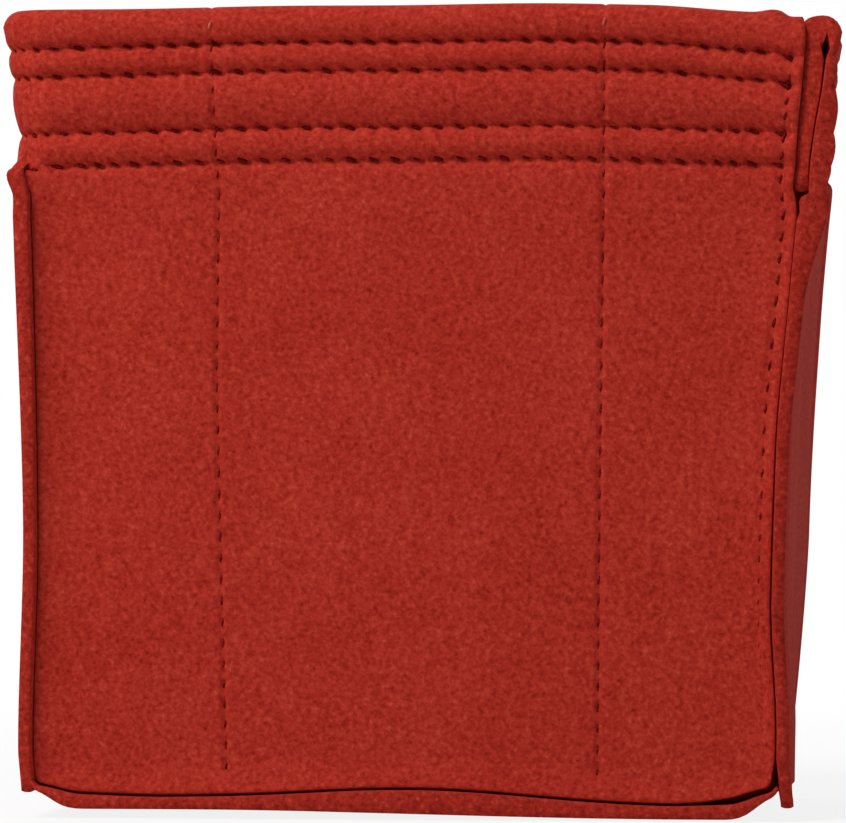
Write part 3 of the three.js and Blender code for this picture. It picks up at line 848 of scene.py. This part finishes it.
def drawn_down(form, panel, surface):
    """How far the stitches draw each point of the face down into the felt."""
    phases = surface.phases[:, None]
    stitches = np.floor(phases + HOLE_LEAD).astype(int)
    sink = np.zeros(surface.face.shape[:2])
    layer_share = np.select([surface.layer == OUTER, surface.layer == INNER], [1, INNER_DENT_SHARE], 0)
    for number, row in enumerate(form.rows):
        noise = noise_line(stitches.max() + 1, number + SEED_STEP * len(panel))
        strength = 1 + STRENGTH_SPREAD * noise[stitches]
        middle = row + SLANT_SHARE * form.pitch * from_dash(phases)
        near = bump(surface.height[None, :], middle, DENT_REACH)
        sink += DENT_DEPTH * strength * dent(phases) * near * layer_share[None, :]
    fade = [ramp(s.turn, *ROW_END_TURNS) if is_closing(panel, s.end) else 1 for s in surface.stations]
    sink *= np.array(fade)[:, None]
    if panel not in END_PANELS:
        return sink
    near = bump(np.abs(surface.fields), POCKET_SEAM, DENT_REACH)[:, None]
    dents = UPRIGHT_DENT_SHARE * DENT_DEPTH * dent(seam_phase(form, surface.height))
    on_wall = (surface.height > form.seam_foot) & (surface.layer != FOLD)
    sink = np.maximum(sink, near * (SEAM_GROOVE + dents) * on_wall)
    sink += near * SEAM_GROOVE * (surface.layer == FOLD)
    return sink + flank_share(form, panel, surface) * (CLOSING_GROOVE + dents) * (surface.layer == OUTER)


def flank_share(form, panel, surface):
    """1 on the corner seams' line of stitches, fading out beside it and above the ribs."""
    near = []
    for station in surface.stations:
        closing = is_closing(panel, station.end)
        seam = CLOSING_SEAM_TURN if closing else SEAM_TURN
        top = form.height if closing else form.rib_top
        shown = (surface.height < top) & (surface.height >= form.wall_foot)
        risen = smooth(surface.height / form.hem_end)
        strength = mix(CLOSING_FOOT_SHARE, 1, risen) if closing else BLIND_DENT_SHARE
        near.append(bump(station.turn, seam, FLANK_REACH) * bool(station.turn) * shown * strength)
    return np.array(near)


# The meshes.


def quads(index):
    """The four-sided faces of a grid of point numbers."""
    corners = (index[:-1, :-1], index[1:, :-1], index[1:, 1:], index[:-1, 1:])
    return np.stack([corner.ravel() for corner in corners], 1).tolist()


def new_mesh(name, points, faces, slots):
    """A smooth mesh whose faces take their materials from these slots."""
    mesh = bpy.data.meshes.new(name)
    mesh.from_pydata(points, [], faces)
    mesh.polygons.foreach_set("material_index", np.asarray(slots, np.int32))
    mesh.polygons.foreach_set("use_smooth", np.ones(len(faces), bool))
    mesh.update()
    return mesh


def edge_direction(grid, loop):
    """The way out of a grid at each point of its border."""
    columns, levels = grid.shape[:2]
    ways = []
    for c, level in loop:
        way = np.zeros(3)
        if c in (0, columns - 1):
            way += unit(grid[c, level] - grid[1 if c == 0 else columns - 2, level])
        if level in (0, levels - 1):
            way += unit(grid[c, level] - grid[c, 1 if level == 0 else levels - 2])
        ways.append(unit(way))
    return np.array(ways)


def surface_mesh(name, form, face, back, edge_round, every=1):
    """A closed sheet of felt from its two grids. The back keeps only some of its lines, and the cut
    edges between are rounded over by rings of points."""
    columns, levels = face.shape[:2]
    on_face = np.arange(columns * levels).reshape(columns, levels)
    loop = [(c, 0) for c in range(columns - 1)]
    loop += [(columns - 1, level) for level in range(levels - 1)]
    loop += [(c, levels - 1) for c in range(columns - 1, 0, -1)]
    loop += [(0, level) for level in range(levels - 1, 0, -1)]
    c, level = np.array(loop).T
    outward = unit(edge_direction(face, loop) + edge_direction(back, loop))
    points, rings = [face.reshape(-1, 3)], [on_face[c, level]]
    count = columns * levels
    for share in RING_SHARES:
        bulge = edge_round[c, level] * (1 - abs(2 * share - 1) ** BULGE_POWER)
        points.append(mix(face[c, level], back[c, level], share) + outward * bulge[:, None])
        rings.append(count + np.arange(len(loop)))
        count += len(loop)
    keep = np.ix_(*(sorted({*range(0, size, every), size - 1}) for size in (columns, levels)))
    kept = np.full((columns, levels), -1)
    kept[keep] = count + np.arange(kept[keep].size).reshape(kept[keep].shape)
    points.append(back[keep].reshape(-1, 3))
    rims = []
    for inner, outer in zip(rings, rings[1:]):
        rims += np.stack([np.roll(inner, -1), inner, outer, np.roll(outer, -1)], 1).tolist()
    at = [i for i in range(len(loop)) if kept[c[i], level[i]] >= 0]
    for start, end in zip(at, at[1:] + [at[0] + len(loop)]):
        span = [int(rings[-1][i % len(loop)]) for i in range(end, start - 1, -1)]
        rims.append(span + [int(kept[c[i % len(loop)], level[i % len(loop)]]) for i in (start, end)])
    fronts, backs = quads(on_face), [quad[::-1] for quad in quads(kept[keep])]
    slots = np.repeat([0, 1, 0], [len(fronts), len(rims), len(backs)])
    mesh = new_mesh(name, settle(np.concatenate(points), form), fronts + rims + backs, slots)
    square = np.zeros(len(mesh.vertices), bool)
    square[rings[0][edge_round[c, level] == 0]] = True
    ends = np.empty(2 * len(mesh.edges), np.int32)
    mesh.edges.foreach_get("vertices", ends)
    mesh.edges.foreach_set("use_edge_sharp", square[ends.reshape(-1, 2)].all(axis=1))
    mesh.update()
    return mesh


def stitch_paths(line, normals, phases, first, last, rise=STITCH_RISE):
    """Each stitch's middle line from hole to hole, from a seam's line on the felt."""
    travel = np.linspace(0, 1, STITCH_POINTS)
    paths, ups = [], []
    for hole in range(first, last):
        at = hole + travel * DASH_SHARE
        point, up = (
            np.stack([np.interp(at, phases, values[:, k]) for k in range(3)], 1)
            for values in (line, normals)
        )
        up = unit(up)
        run = point[-1] - point[0]
        across = np.cross(up, unit(run)) * (SLANT_SHARE * np.linalg.norm(run))
        lift = mix(-DIVE, rise, np.sqrt(np.sin(math.pi * travel)))
        paths.append(point + up * lift[:, None] + across * (travel - 0.5)[:, None])
        ups.append(up)
    return paths, ups


def joined(*found):
    """Several seams' stitches as one list."""
    return [p for paths, _ in found for p in paths], [u for _, ups in found for u in ups]


def thread_mesh(name, form, paths, ups):
    """One tube for each stitch. Those on the fold take the second material, the thread paled by a painted
    highlight.
    """
    path, up = settle(np.array(paths), form), np.array(ups)
    tangent = unit(np.gradient(path, axis=1))
    across = unit(np.cross(tangent, up))
    over = np.cross(across, tangent)
    angles = (2 * math.pi * np.arange(THREAD_SIDES) / THREAD_SIDES)[:, None]
    ring = np.cos(angles) * over[:, :, None] + np.sin(angles) * across[:, :, None]
    points = (path[:, :, None] + THREAD * ring).reshape(-1, 3)
    faces = []
    for tube in np.arange(len(points)).reshape(-1, STITCH_POINTS, THREAD_SIDES):
        beside = np.roll(tube, -1, axis=1)
        faces += np.stack([tube[:-1], tube[1:], beside[1:], beside[:-1]], -1).reshape(-1, 4).tolist()
        faces += [tube[0].tolist(), tube[-1, ::-1].tolist()]
    on_crest = np.array(paths)[:, STITCH_POINTS // 2, 2] > form.rows[-1] + CREST_FROM
    return new_mesh(name, points, faces, np.repeat(on_crest, len(faces) // len(paths)))


def add_piece(name, mesh, materials, node):
    """Puts a finished mesh into the scene as a piece that stands for a CAD node."""
    piece = bpy.data.objects.new(name, mesh)
    bpy.context.scene.collection.objects.link(piece)
    for material in materials:
        mesh.materials.append(material)
    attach(piece, "root")
    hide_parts(node)
    return piece


# The pockets and the base.


def pocket_swell(form, x, z):
    """How far a pocket panel stands off the wall."""
    outer = np.clip((np.abs(x) - POCKET_SEAM) / (form.margin_face(z) - POCKET_SEAM), 0, 1)
    middle = np.clip((x + POCKET_SEAM) / (2 * POCKET_SEAM), 0, 1)
    swell = np.where(
        np.abs(x) <= POCKET_SEAM,
        MIDDLE_POCKET_SWELL * np.sin(math.pi * middle),
        OUTER_POCKET_SWELL * np.sin(math.pi * outer),
    )
    return swell * mix(SWELL_AT_BASE_SHARE, 1, smooth(z / SWELL_HEIGHT))


def foot_height(form, x):
    """The height of the base's upper side at a distance from the middle."""
    start = form.margin_face(0) - BOTTOM_CORNER
    past = np.clip(np.abs(x) - start, 0, BOTTOM_CORNER)
    return form.seat_centre - np.sqrt(BOTTOM_CORNER**2 - past**2)


def pocket_surface(form, panel):
    """A pocket panel's two grids. Its face looks into the insert."""
    reach = form.margin_face(0)
    seams = np.array([side * POCKET_SEAM + offset for side in (-1, 1) for offset in SEAM_COLUMNS])
    x_shares = np.sort(np.append(np.linspace(-1, 1, POCKET_COLUMNS + 1), seams / reach))
    levels = np.linspace(0, 1, round(form.pocket_height / form.pitch * LEVELS_PER_STITCH) + 1)
    face, back = [], []
    for share in x_shares:
        flat_x = share * reach
        dip = POCKET_EDGE_DIP * abs(math.sin(math.pi * flat_x / POCKET_SEAM / 2))
        z = mix(float(foot_height(form, flat_x)), form.pocket_height - dip, levels)
        beyond = np.clip((abs(flat_x) - PLAIN_REACH) / (reach - PLAIN_REACH), 0, 1)
        x = np.minimum(abs(flat_x), PLAIN_REACH) + beyond * (form.margin_face(z) - PLAIN_REACH)
        x = x * math.copysign(1, share)
        groove = SEAM_GROOVE + DENT_DEPTH * dent(seam_phase(form, z))
        dents = bump(np.abs(x), POCKET_SEAM, DENT_REACH) * groove
        out = form.end_face(z) - form.felt - SEWN_GAP - pocket_swell(form, x, z)
        face.append(PANELS[panel](x, out - POCKET_FELT + POCKET_DENT_SHARE * dents, z))
        back.append(PANELS[panel](x, out, z))
    return x_shares, np.array(face), np.array(back)


def base_surface(form):
    """The base's two grids: flat in the middle, its ends turned up round the end panels' corners."""
    start = form.margin_face(0) - BOTTOM_CORNER
    inner = BOTTOM_CORNER + SEWN_GAP
    reach = form.end_face(0) + MARGIN
    turns = np.linspace(0, BASE_CURL, CURL_COLUMNS + 1)[1:]
    y = np.linspace(-reach, reach, BASE_ROWS)
    cuts = [(-start, -turn) for turn in turns[::-1]]
    cuts += [(x, 0) for x in np.linspace(-start, start, BASE_COLUMNS)]
    cuts += [(start, turn) for turn in turns]
    top, under = [], []
    for x, turn in cuts:
        gone = abs(x) - start + BASE_THIN_RUN + inner * abs(turn)
        felt = mix(form.felt, BASE_END_FELT, smooth(gone / (BASE_THIN_RUN + inner * BASE_CURL)))
        for radius, lines in ((inner, top), (inner + felt, under)):
            across = x + radius * math.sin(turn)
            height = form.seat_centre - radius * math.cos(turn)
            lines.append(np.stack(np.broadcast_arrays(across, y, height), -1))
    return np.array(top), np.array(under)


# The materials.


def linear(hex_colour):
    """A colour written as sRGB hex, as the linear values that Blender's sockets take."""
    parts = [int(hex_colour[i : i + 2], 16) / 255 for i in (0, 2, 4)]
    return [c / 12.92 if c <= 0.04045 else ((c + 0.055) / 1.055) ** 2.4 for c in parts]


def add_node(material, kind, inputs=None, links=None, **settings):
    """Adds a node with its settings, its inputs' values and the links that feed it."""
    tree = material.node_tree
    node = tree.nodes.new(kind)
    for name, value in settings.items():
        setattr(node, name, value)
    for name, value in (inputs or {}).items():
        node.inputs[name].default_value = value
    for name, source in (links or {}).items():
        tree.links.new(source, node.inputs[name])
    return node


def blank_material(name):
    material = bpy.data.materials.new(name)
    material.use_nodes = True
    material.node_tree.nodes.clear()
    return material


def finish_fibres(material, tone, stops, height, relief, looks, strength=1.0):
    """Colours a fibrous surface from its tone by (place, sRGB hex) stops, and raises it."""
    ramp_node = add_node(material, "ShaderNodeValToRGB", links={"Fac": tone})
    elements = ramp_node.color_ramp.elements
    while len(elements) < len(stops):
        elements.new(0.5)
    for element, (place, colour) in zip(elements, stops):
        element.position = place
        element.color = (*linear(colour), 1)
    raised = add_node(
        material,
        "ShaderNodeBump",
        inputs={"Strength": strength, "Distance": relief},
        links={"Height": height},
    )
    shader = add_node(
        material,
        "ShaderNodeBsdfPrincipled",
        inputs=looks,
        links={"Base Color": ramp_node.outputs["Color"], "Normal": raised.outputs["Normal"]},
    )
    add_node(material, "ShaderNodeOutputMaterial", links={"Surface": shader.outputs["BSDF"]})
    return material


def needled_felt(name, tones, relief, lay=0):
    """Needle-punched polyester felt. Matted fibres give the eye soft tufts about a millimetre across,
    short crossing strands and no shine."""
    material = blank_material(name)
    place = add_node(material, "ShaderNodeTexCoord").outputs["Object"]
    found = []
    for size, tilt, stretch, detail in FELT_PATTERNS:
        turned = (0, math.radians(tilt), STRAND_TURN)
        laid = add_node(
            material,
            "ShaderNodeMapping",
            inputs={"Rotation": turned, "Scale": (stretch, 1, 1), "Location": (lay,) * 3},
            links={"Vector": place},
            vector_type="TEXTURE",
        )
        pattern = add_node(
            material,
            "ShaderNodeTexNoise",
            inputs={"Scale": 1 / size, "Detail": detail, "Roughness": 0.6},
            links={"Vector": laid.outputs["Vector"]},
        )
        found.append(pattern.outputs["Fac"])
    tufts, strands, crossing, clouds = found
    fibres = add_node(material, "ShaderNodeCombineXYZ", links={0: tufts, 1: strands, 2: crossing})
    weave = add_node(
        material,
        "ShaderNodeVectorMath",
        operation="DOT_PRODUCT",
        inputs={1: FIBRE_SHARES},
        links={0: fibres.outputs["Vector"]},
    ).outputs["Value"]
    tone = add_node(
        material,
        "ShaderNodeMath",
        operation="MULTIPLY_ADD",
        inputs={1: CLOUD_SHARE},
        links={0: clouds, 2: weave},
    ).outputs["Value"]
    looks = {"Roughness": 0.95, "Specular IOR Level": 0.08, "Sheen Weight": 0.04, "Sheen Roughness": 0.6}
    looks["Sheen Tint"] = (*linear("c85a48"), 1)
    return finish_fibres(material, tone, tones, weave, relief, looks)


def spun_thread(name, tones):
    """Spun polyester sewing thread, two strands twisted together. It gives the eye small slanting ridges
    and is dull. Its tones hold painted light: darker than the felt for painted shade in the stitches'
    dents, or paler for a painted highlight on the fold."""
    material = blank_material(name)
    place = add_node(material, "ShaderNodeTexCoord").outputs["Object"]
    fibres = add_node(
        material,
        "ShaderNodeTexNoise",
        inputs={"Scale": 1 / THREAD_FIBRE, "Detail": 2.0, "Roughness": 0.5},
        links={"Vector": place},
    ).outputs["Fac"]
    twist = add_node(
        material,
        "ShaderNodeTexWave",
        inputs={"Scale": 1 / THREAD_TWIST, "Distortion": 0.6, "Detail": 1.0},
        links={"Vector": place},
        bands_direction="DIAGONAL",
    ).outputs["Fac"]
    looks = {"Roughness": 0.85, "Specular IOR Level": 0.05}
    return finish_fibres(material, fibres, tones, twist, THREAD_RELIEF, looks, strength=0.6)


@lru_cache(maxsize=None)
def felt_materials():
    """The felt's looks: on its faces, and on its cut edges."""
    return [
        needled_felt("needle_punched_felt", FELT_TONES, FACE_RELIEF),
        needled_felt("cut_felt_edge", EDGE_TONES, EDGE_RELIEF, EDGE_LAY),
    ]


def seen_rays(owner):
    """1 for the rays that show the background: the camera's, and those that gloss or glass pass on."""
    rays = add_node(owner, "ShaderNodeLightPath").outputs
    plain = add_node(
        owner,
        "ShaderNodeMath",
        operation="ADD",
        links={0: rays["Is Camera Ray"], 1: rays["Is Glossy Ray"]},
    )
    every = add_node(
        owner,
        "ShaderNodeMath",
        operation="ADD",
        use_clamp=True,
        links={0: plain.outputs["Value"], 1: rays["Is Transmission Ray"]},
    )
    return every.outputs["Value"]


def studio_paper(name):
    """Matt white paper. It takes the insert's soft shadow, and the camera sees it near white."""
    material = blank_material(name)
    paper = add_node(
        material,
        "ShaderNodeBsdfPrincipled",
        inputs={"Base Color": (*linear("e6e6e6"), 1), "Roughness": 0.9, "Specular IOR Level": 0.1},
    )
    white = add_node(material, "ShaderNodeEmission", inputs={"Strength": 1.0})
    place = add_node(material, "ShaderNodeTexCoord").outputs["Object"]
    away = add_node(material, "ShaderNodeVectorMath", operation="LENGTH", links={0: place})
    white_share = add_node(
        material,
        "ShaderNodeMapRange",
        inputs={"From Min": SHADOW_FULL, "From Max": SHADOW_REACH, "To Min": WHITE_SHARE},
        links={"Value": away.outputs["Value"]},
    )
    seen = add_node(
        material,
        "ShaderNodeMath",
        operation="MULTIPLY",
        links={0: seen_rays(material), 1: white_share.outputs["Result"]},
    )
    both = add_node(
        material,
        "ShaderNodeMixShader",
        links={0: seen.outputs[0], 1: paper.outputs["BSDF"], 2: white.outputs["Emission"]},
    )
    add_node(material, "ShaderNodeOutputMaterial", links={"Surface": both.outputs["Shader"]})
    return material


# What a user can change.


class InsertSizes(PropertyGroup):
    """The insert's sizes."""

    height: FloatProperty(
        name="Height",
        description="Floor to the top of the folded hem",
        default=HEIGHT,
        unit="LENGTH",
    )
    width: FloatProperty(
        name="Width",
        description="Over the side panels' outer faces, at the floor",
        default=WIDTH,
        unit="LENGTH",
    )
    depth: FloatProperty(
        name="Depth",
        description="Over the front and back panels' outer faces, at the floor",
        default=DEPTH,
        unit="LENGTH",
    )
    felt: FloatProperty(
        name="Felt",
        description="Thickness of the walls' and the base's felt",
        default=FELT,
        unit="LENGTH",
    )
    pitch: FloatProperty(
        name="Stitch length",
        description="From one needle hole to the next",
        default=PITCH,
        unit="LENGTH",
    )
    pocket_height: FloatProperty(
        name="Pocket height",
        description="Floor to the pockets' top edge",
        default=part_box("front_pocket_panel")[1].z,
        unit="LENGTH",
    )


class StageLook(PropertyGroup):
    """The plain stage's light."""

    world: FloatVectorProperty(
        name="Room light",
        description="Colour of the light that comes from all round",
        default=(0.96, 0.98, 1.0),
        subtype="COLOR",
    )
    room_level: FloatProperty(
        name="Room level",
        description="Strength of the light that comes from all round",
        default=0.24,
        min=0,
    )
    key_level: FloatProperty(
        name="Window level",
        description="Strength of the large soft light at the upper left",
        default=11.3,
        min=0,
    )
    fill_level: FloatProperty(
        name="Fill level",
        description="Strength of the soft light at the right",
        default=0.9,
        min=0,
    )
    rear_level: FloatProperty(
        name="Rear level",
        description="Strength of the soft light behind",
        default=8.0,
        min=0,
    )


def form_of(context):
    """The form from the sizes that are set, without the last digits of a stored single float."""
    sizes = context.scene.insert_sizes
    return Form(*(round(getattr(sizes, name), 6) for name in Form.__annotations__))


# The pieces.


class INSERT_OT_walls(Operator):
    """Builds the four wall panels with their folded, quilted hem"""

    bl_idname = "insert.walls"
    bl_label = "Walls and hem"

    def execute(self, context):
        form = form_of(context)
        for panel in PANELS:
            surface = panel_surface(form, panel)
            sink = drawn_down(form, panel, surface)
            face = surface.face - grid_normals(surface.face) * sink[..., None]
            edge_round = edge_rounding(form, panel, surface)
            node = f"{panel}_panel" if panel in END_PANELS else f"{panel}_side_panel"
            mesh = surface_mesh(node, form, face, surface.back, edge_round, every=COLUMNS_PER_STITCH)
            piece = add_piece(f"{panel}_wall_felt", mesh, felt_materials(), node)
        return {"FINISHED"}


class INSERT_OT_base(Operator):
    """Builds the base panel with its upturned ends"""

    bl_idname = "insert.base"
    bl_label = "Base"

    def execute(self, context):
        form = form_of(context)
        top, under = base_surface(form)
        mesh = surface_mesh("base", form, top, under, np.full(top.shape[:2], EDGE_ROUND))
        piece = add_piece("base_felt", mesh, felt_materials(), "base_panel")
        return {"FINISHED"}


class INSERT_OT_pockets(Operator):
    """Builds the two inner pocket panels"""

    bl_idname = "insert.pockets"
    bl_label = "Pockets"

    def execute(self, context):
        form = form_of(context)
        for panel in END_PANELS:
            node = f"{panel}_pocket_panel"
            _, face, back = pocket_surface(form, panel)
            edge_round = np.full(face.shape[:2], EDGE_ROUND / 2)
            mesh = surface_mesh(node, form, face[::-1], back[::-1], edge_round, every=2)
            piece = add_piece(f"{panel}_pocket_felt", mesh, felt_materials(), node)
        return {"FINISHED"}


class INSERT_OT_stitches(Operator):
    """Sews every seam with its own stitches"""

    bl_idname = "insert.stitches"
    bl_label = "Stitches"

    def execute(self, context):
        form = form_of(context)
        # Painted shade: this thread's darker tones stand for the shade in the stitches' dents.
        plain = spun_thread("spun_polyester_thread", THREAD_SHADE_TONES)
        # Painted highlight: this thread's paler tones stand for light on the fold's crest.
        painted_highlight = spun_thread("fuzzed_polyester_thread", THREAD_HIGHLIGHT_TONES)
        for name, (paths, ups), node in all_seams(form):
            mesh = thread_mesh(name, form, paths, ups)
            threads = [plain, painted_highlight] if "pocket" in name else [plain]
            add_piece(name, mesh, threads, node)
        return {"FINISHED"}


def edge_rounding(form, panel, surface):
    """How far each point of a panel's border is rounded over: not where the hem runs on round a corner."""
    shares = []
    for station in surface.stations:
        share = np.where(surface.layer == OUTER, 1 - form.rib_share(surface.height), 0)
        share[0] = share[-1] = 1
        if is_closing(panel, station.end):
            share = np.where(surface.height > form.hem_end, CLOSING_ROUND_SHARE, 1)
        shares.append(share if station.turn else np.ones(len(share)))
    return EDGE_ROUND * np.array(shares)


# The seams.


def row_seam(form, panel, row, layer):
    """A hem row's stitches on one panel, on the outside or inside the insert."""
    surface = panel_surface(form, panel)
    level = surface.level(layer, row)
    normals = grid_normals(surface.face)[:, level]
    first, last = 0, round(surface.phases[-1])
    if panel == "front" and layer == INNER:
        last -= CORNER_STITCHES
    if panel == "right":
        first = 1 if layer == OUTER else CORNER_STITCHES
    return stitch_paths(surface.face[:, level], normals, surface.phases, first, last)


def upright_seam(form, panel, column, levels, rise=STITCH_RISE):
    """Stitches up one of a panel's lines, and on over the fold where its levels reach that far."""
    surface = panel_surface(form, panel)
    line = surface.face[column, levels]
    phases = seam_phase(form, surface.height[levels])
    on_fold = surface.layer[levels] == FOLD
    top = math.ceil(seam_phase(form, form.rows[-1]))
    if on_fold.any():
        steps = np.linalg.norm(np.diff(line, axis=0), axis=1)[-on_fold.sum() :]
        phases[on_fold] = phases[~on_fold][-1] + np.cumsum(steps) / form.pitch
    order = np.argsort(phases)
    phases, line = phases[order], line[order]
    normals = grid_normals(surface.face)[column, levels][order]
    first, last = math.ceil(phases[0] - NEAR_PHASE), math.floor(phases[-1] + NEAR_PHASE)
    if not on_fold.any():
        return stitch_paths(line, normals, phases, first, last, rise)
    return joined(
        stitch_paths(line, normals, phases, first, top, rise),
        stitch_paths(line, normals, phases, top, last, CREST_RISE),
    )


def pocket_seam(form, panel, side):
    """An upright pocket seam: its stitches on the wall, on the hem's inside and on the pocket."""
    surface = panel_surface(form, panel)
    column = int(np.argmin(np.abs(surface.fields - side * POCKET_SEAM)))
    outside = np.flatnonzero((surface.layer == OUTER) & (surface.height >= form.seam_foot))
    outside = np.append(outside, outside[-1] + 1 + np.arange(FOLD_STEPS // 2))
    inside = np.flatnonzero(surface.layer == INNER)
    x_shares, face, _ = pocket_surface(form, panel)
    seam = int(np.argmin(np.abs(x_shares - side * POCKET_SEAM / form.margin_face(0))))
    phases = seam_phase(form, face[seam, :, 2])
    first, last = math.ceil(phases[0] + 1), math.floor(phases[-1])
    return joined(
        upright_seam(form, panel, column, outside),
        upright_seam(form, panel, column, inside),
        stitch_paths(face[seam], -grid_normals(face)[seam], phases, first, last),
    )


def corner_seam(form, panel, end):
    """A corner seam's stitches, on the inner flank of the turned margin."""
    surface = panel_surface(form, panel)
    closing = is_closing(panel, end)
    seam = CLOSING_SEAM_TURN if closing else SEAM_TURN
    top = form.height if closing else form.rib_top - RIB_TAPER
    off_seam = [abs(s.turn - seam) + (s.end != end) for s in surface.stations]
    on_margin = (surface.height >= form.wall_foot) & (surface.height <= top)
    levels = np.flatnonzero((surface.layer == OUTER) & on_margin)
    rise = STITCH_RISE if closing else BLIND_RISE
    return upright_seam(form, panel, int(np.argmin(off_seam)), levels, rise)


def base_seam(form, panel):
    """The base seam's stitches, on top of the bottom margin."""
    surface = panel_surface(form, panel)
    level = BOTTOM_TURNS.index(SEAM_TURN)
    normals = grid_normals(surface.face)[:, level]
    last = round(surface.phases[-1]) - CORNER_STITCHES
    line = surface.face[:, level]
    return stitch_paths(line, normals, surface.phases, CORNER_STITCHES, last, BLIND_RISE)


def all_seams(form):
    """Every seam as its piece's name, its stitches and the CAD node that it stands for."""
    for number, row in enumerate(reversed(form.rows), 1):
        sides = [row_seam(form, panel, row, layer) for panel in PANELS for layer in (OUTER, INNER)]
        yield f"hem_row_{number}_stitches", joined(*sides), f"hem_row_thread_{number}"
    for panel in END_PANELS:
        for label, side in (("left", -1), ("right", 1)):
            for kind, sewn in (("pocket", pocket_seam), ("corner", corner_seam)):
                name = f"{panel}_{label}_{kind}"
                yield f"{name}_stitches", sewn(form, panel, side), f"{name}_seam_thread"
        yield f"{panel}_base_stitches", base_seam(form, panel), f"{panel}_base_seam_thread"


# The stage.


class INSERT_OT_stage(Operator):
    """Sets up the pale floor, the soft light and the camera at the photograph's angle"""

    bl_idname = "insert.stage"
    bl_label = "Stage"

    def execute(self, context):
        form = form_of(context)
        look = context.scene.stage_look
        add_floor()
        add_camera(context.scene, form)
        for name, (place, size, level) in LIGHTS.items():
            add_light(name, place, size, getattr(look, level), form)
        add_world(context.scene, look)
        context.scene.view_settings.view_transform = "Standard"
        return {"FINISHED"}


def add_floor():
    turns = [2 * math.pi * i / FLOOR_SIDES for i in range(FLOOR_SIDES)]
    rim = [(FLOOR_RADIUS * math.cos(t), FLOOR_RADIUS * math.sin(t), -FLOOR_DROP) for t in turns]
    mesh = bpy.data.meshes.new("floor")
    mesh.from_pydata(rim, [], [list(range(FLOOR_SIDES))])
    mesh.materials.append(studio_paper("matt_white_paper"))
    floor = bpy.data.objects.new("floor", mesh)
    bpy.context.scene.collection.objects.link(floor)


def add_camera(scene, form):
    data = bpy.data.cameras.new("camera")
    camera = bpy.data.objects.new("camera", data)
    scene.collection.objects.link(camera)
    scene.camera = camera
    seen_width = IMAGE_WIDTH / PIXELS_PER_MM * MM
    data.sensor_width = SENSOR / MM
    data.lens = SENSOR / MM * CAMERA_DISTANCE / seen_width
    target = Vector((0, -form.depth / 2, form.height / 2))
    back = Vector((math.sin(CAMERA_AZIMUTH), -math.cos(CAMERA_AZIMUTH), 0))
    camera.location = target + back * CAMERA_DISTANCE
    camera.rotation_mode = "QUATERNION"
    camera.rotation_quaternion = (-back).to_track_quat("-Z", "Y")
    data.shift_x = (IMAGE_WIDTH / 2 - FRAME_CENTRE[0]) / IMAGE_WIDTH
    data.shift_y = (FRAME_CENTRE[1] - IMAGE_HEIGHT / 2) / IMAGE_WIDTH
    data.clip_start = CAMERA_DISTANCE / CLIP_RATIO
    data.clip_end = CAMERA_DISTANCE * CLIP_RATIO


def add_light(name, place, size, level, form):
    data = bpy.data.lights.new(name, "AREA")
    data.shape = "DISK"
    data.size = size
    data.energy = level
    light = bpy.data.objects.new(name, data)
    bpy.context.scene.collection.objects.link(light)
    light.location = place
    light.visible_camera = False
    aim = Vector((0, 0, form.height / 2)) - Vector(place)
    light.rotation_mode = "QUATERNION"
    light.rotation_quaternion = aim.to_track_quat("-Z", "Y")


def add_world(scene, look):
    """A white room: rays that the camera sees are white, and the light from it is set apart."""
    world = bpy.data.worlds.new("white_room")
    world.use_nodes = True
    world.node_tree.nodes.clear()
    room, white = (
        add_node(world, "ShaderNodeBackground", inputs={"Color": (*colour, 1), "Strength": level})
        for colour, level in ((look.world, look.room_level), ((1, 1, 1), 1.0))
    )
    both = add_node(
        world,
        "ShaderNodeMixShader",
        links={0: seen_rays(world), 1: room.outputs[0], 2: white.outputs[0]},
    )
    add_node(world, "ShaderNodeOutputWorld", links={"Surface": both.outputs["Shader"]})
    scene.world = world


class INSERT_PT_sidebar(Panel):
    """Lists the insert's sizes and the steps that build it"""

    bl_label = "Purse organizer insert"
    bl_space_type = "VIEW_3D"
    bl_region_type = "UI"
    bl_category = "Insert"

    def draw(self, context):
        for group in (context.scene.insert_sizes, context.scene.stage_look):
            for name in group.__annotations__:
                self.layout.prop(group, name)
        for step in STEPS:
            self.layout.operator(step.bl_idname)


STEPS = (INSERT_OT_walls, INSERT_OT_base, INSERT_OT_pockets, INSERT_OT_stitches, INSERT_OT_stage)
CLASSES = (InsertSizes, StageLook, *STEPS, INSERT_PT_sidebar)


def register():
    for cls in CLASSES:
        bpy.utils.register_class(cls)
    bpy.types.Scene.insert_sizes = PointerProperty(type=InsertSizes)
    bpy.types.Scene.stage_look = PointerProperty(type=StageLook)


def unregister():
    del bpy.types.Scene.stage_look
    del bpy.types.Scene.insert_sizes
    for cls in reversed(CLASSES):
        bpy.utils.unregister_class(cls)


def main():
    register()
    bpy.ops.insert.walls()
    bpy.ops.insert.base()
    bpy.ops.insert.pockets()
    bpy.ops.insert.stitches()
    bpy.ops.insert.stage()


if __name__ == "__main__":
    main()
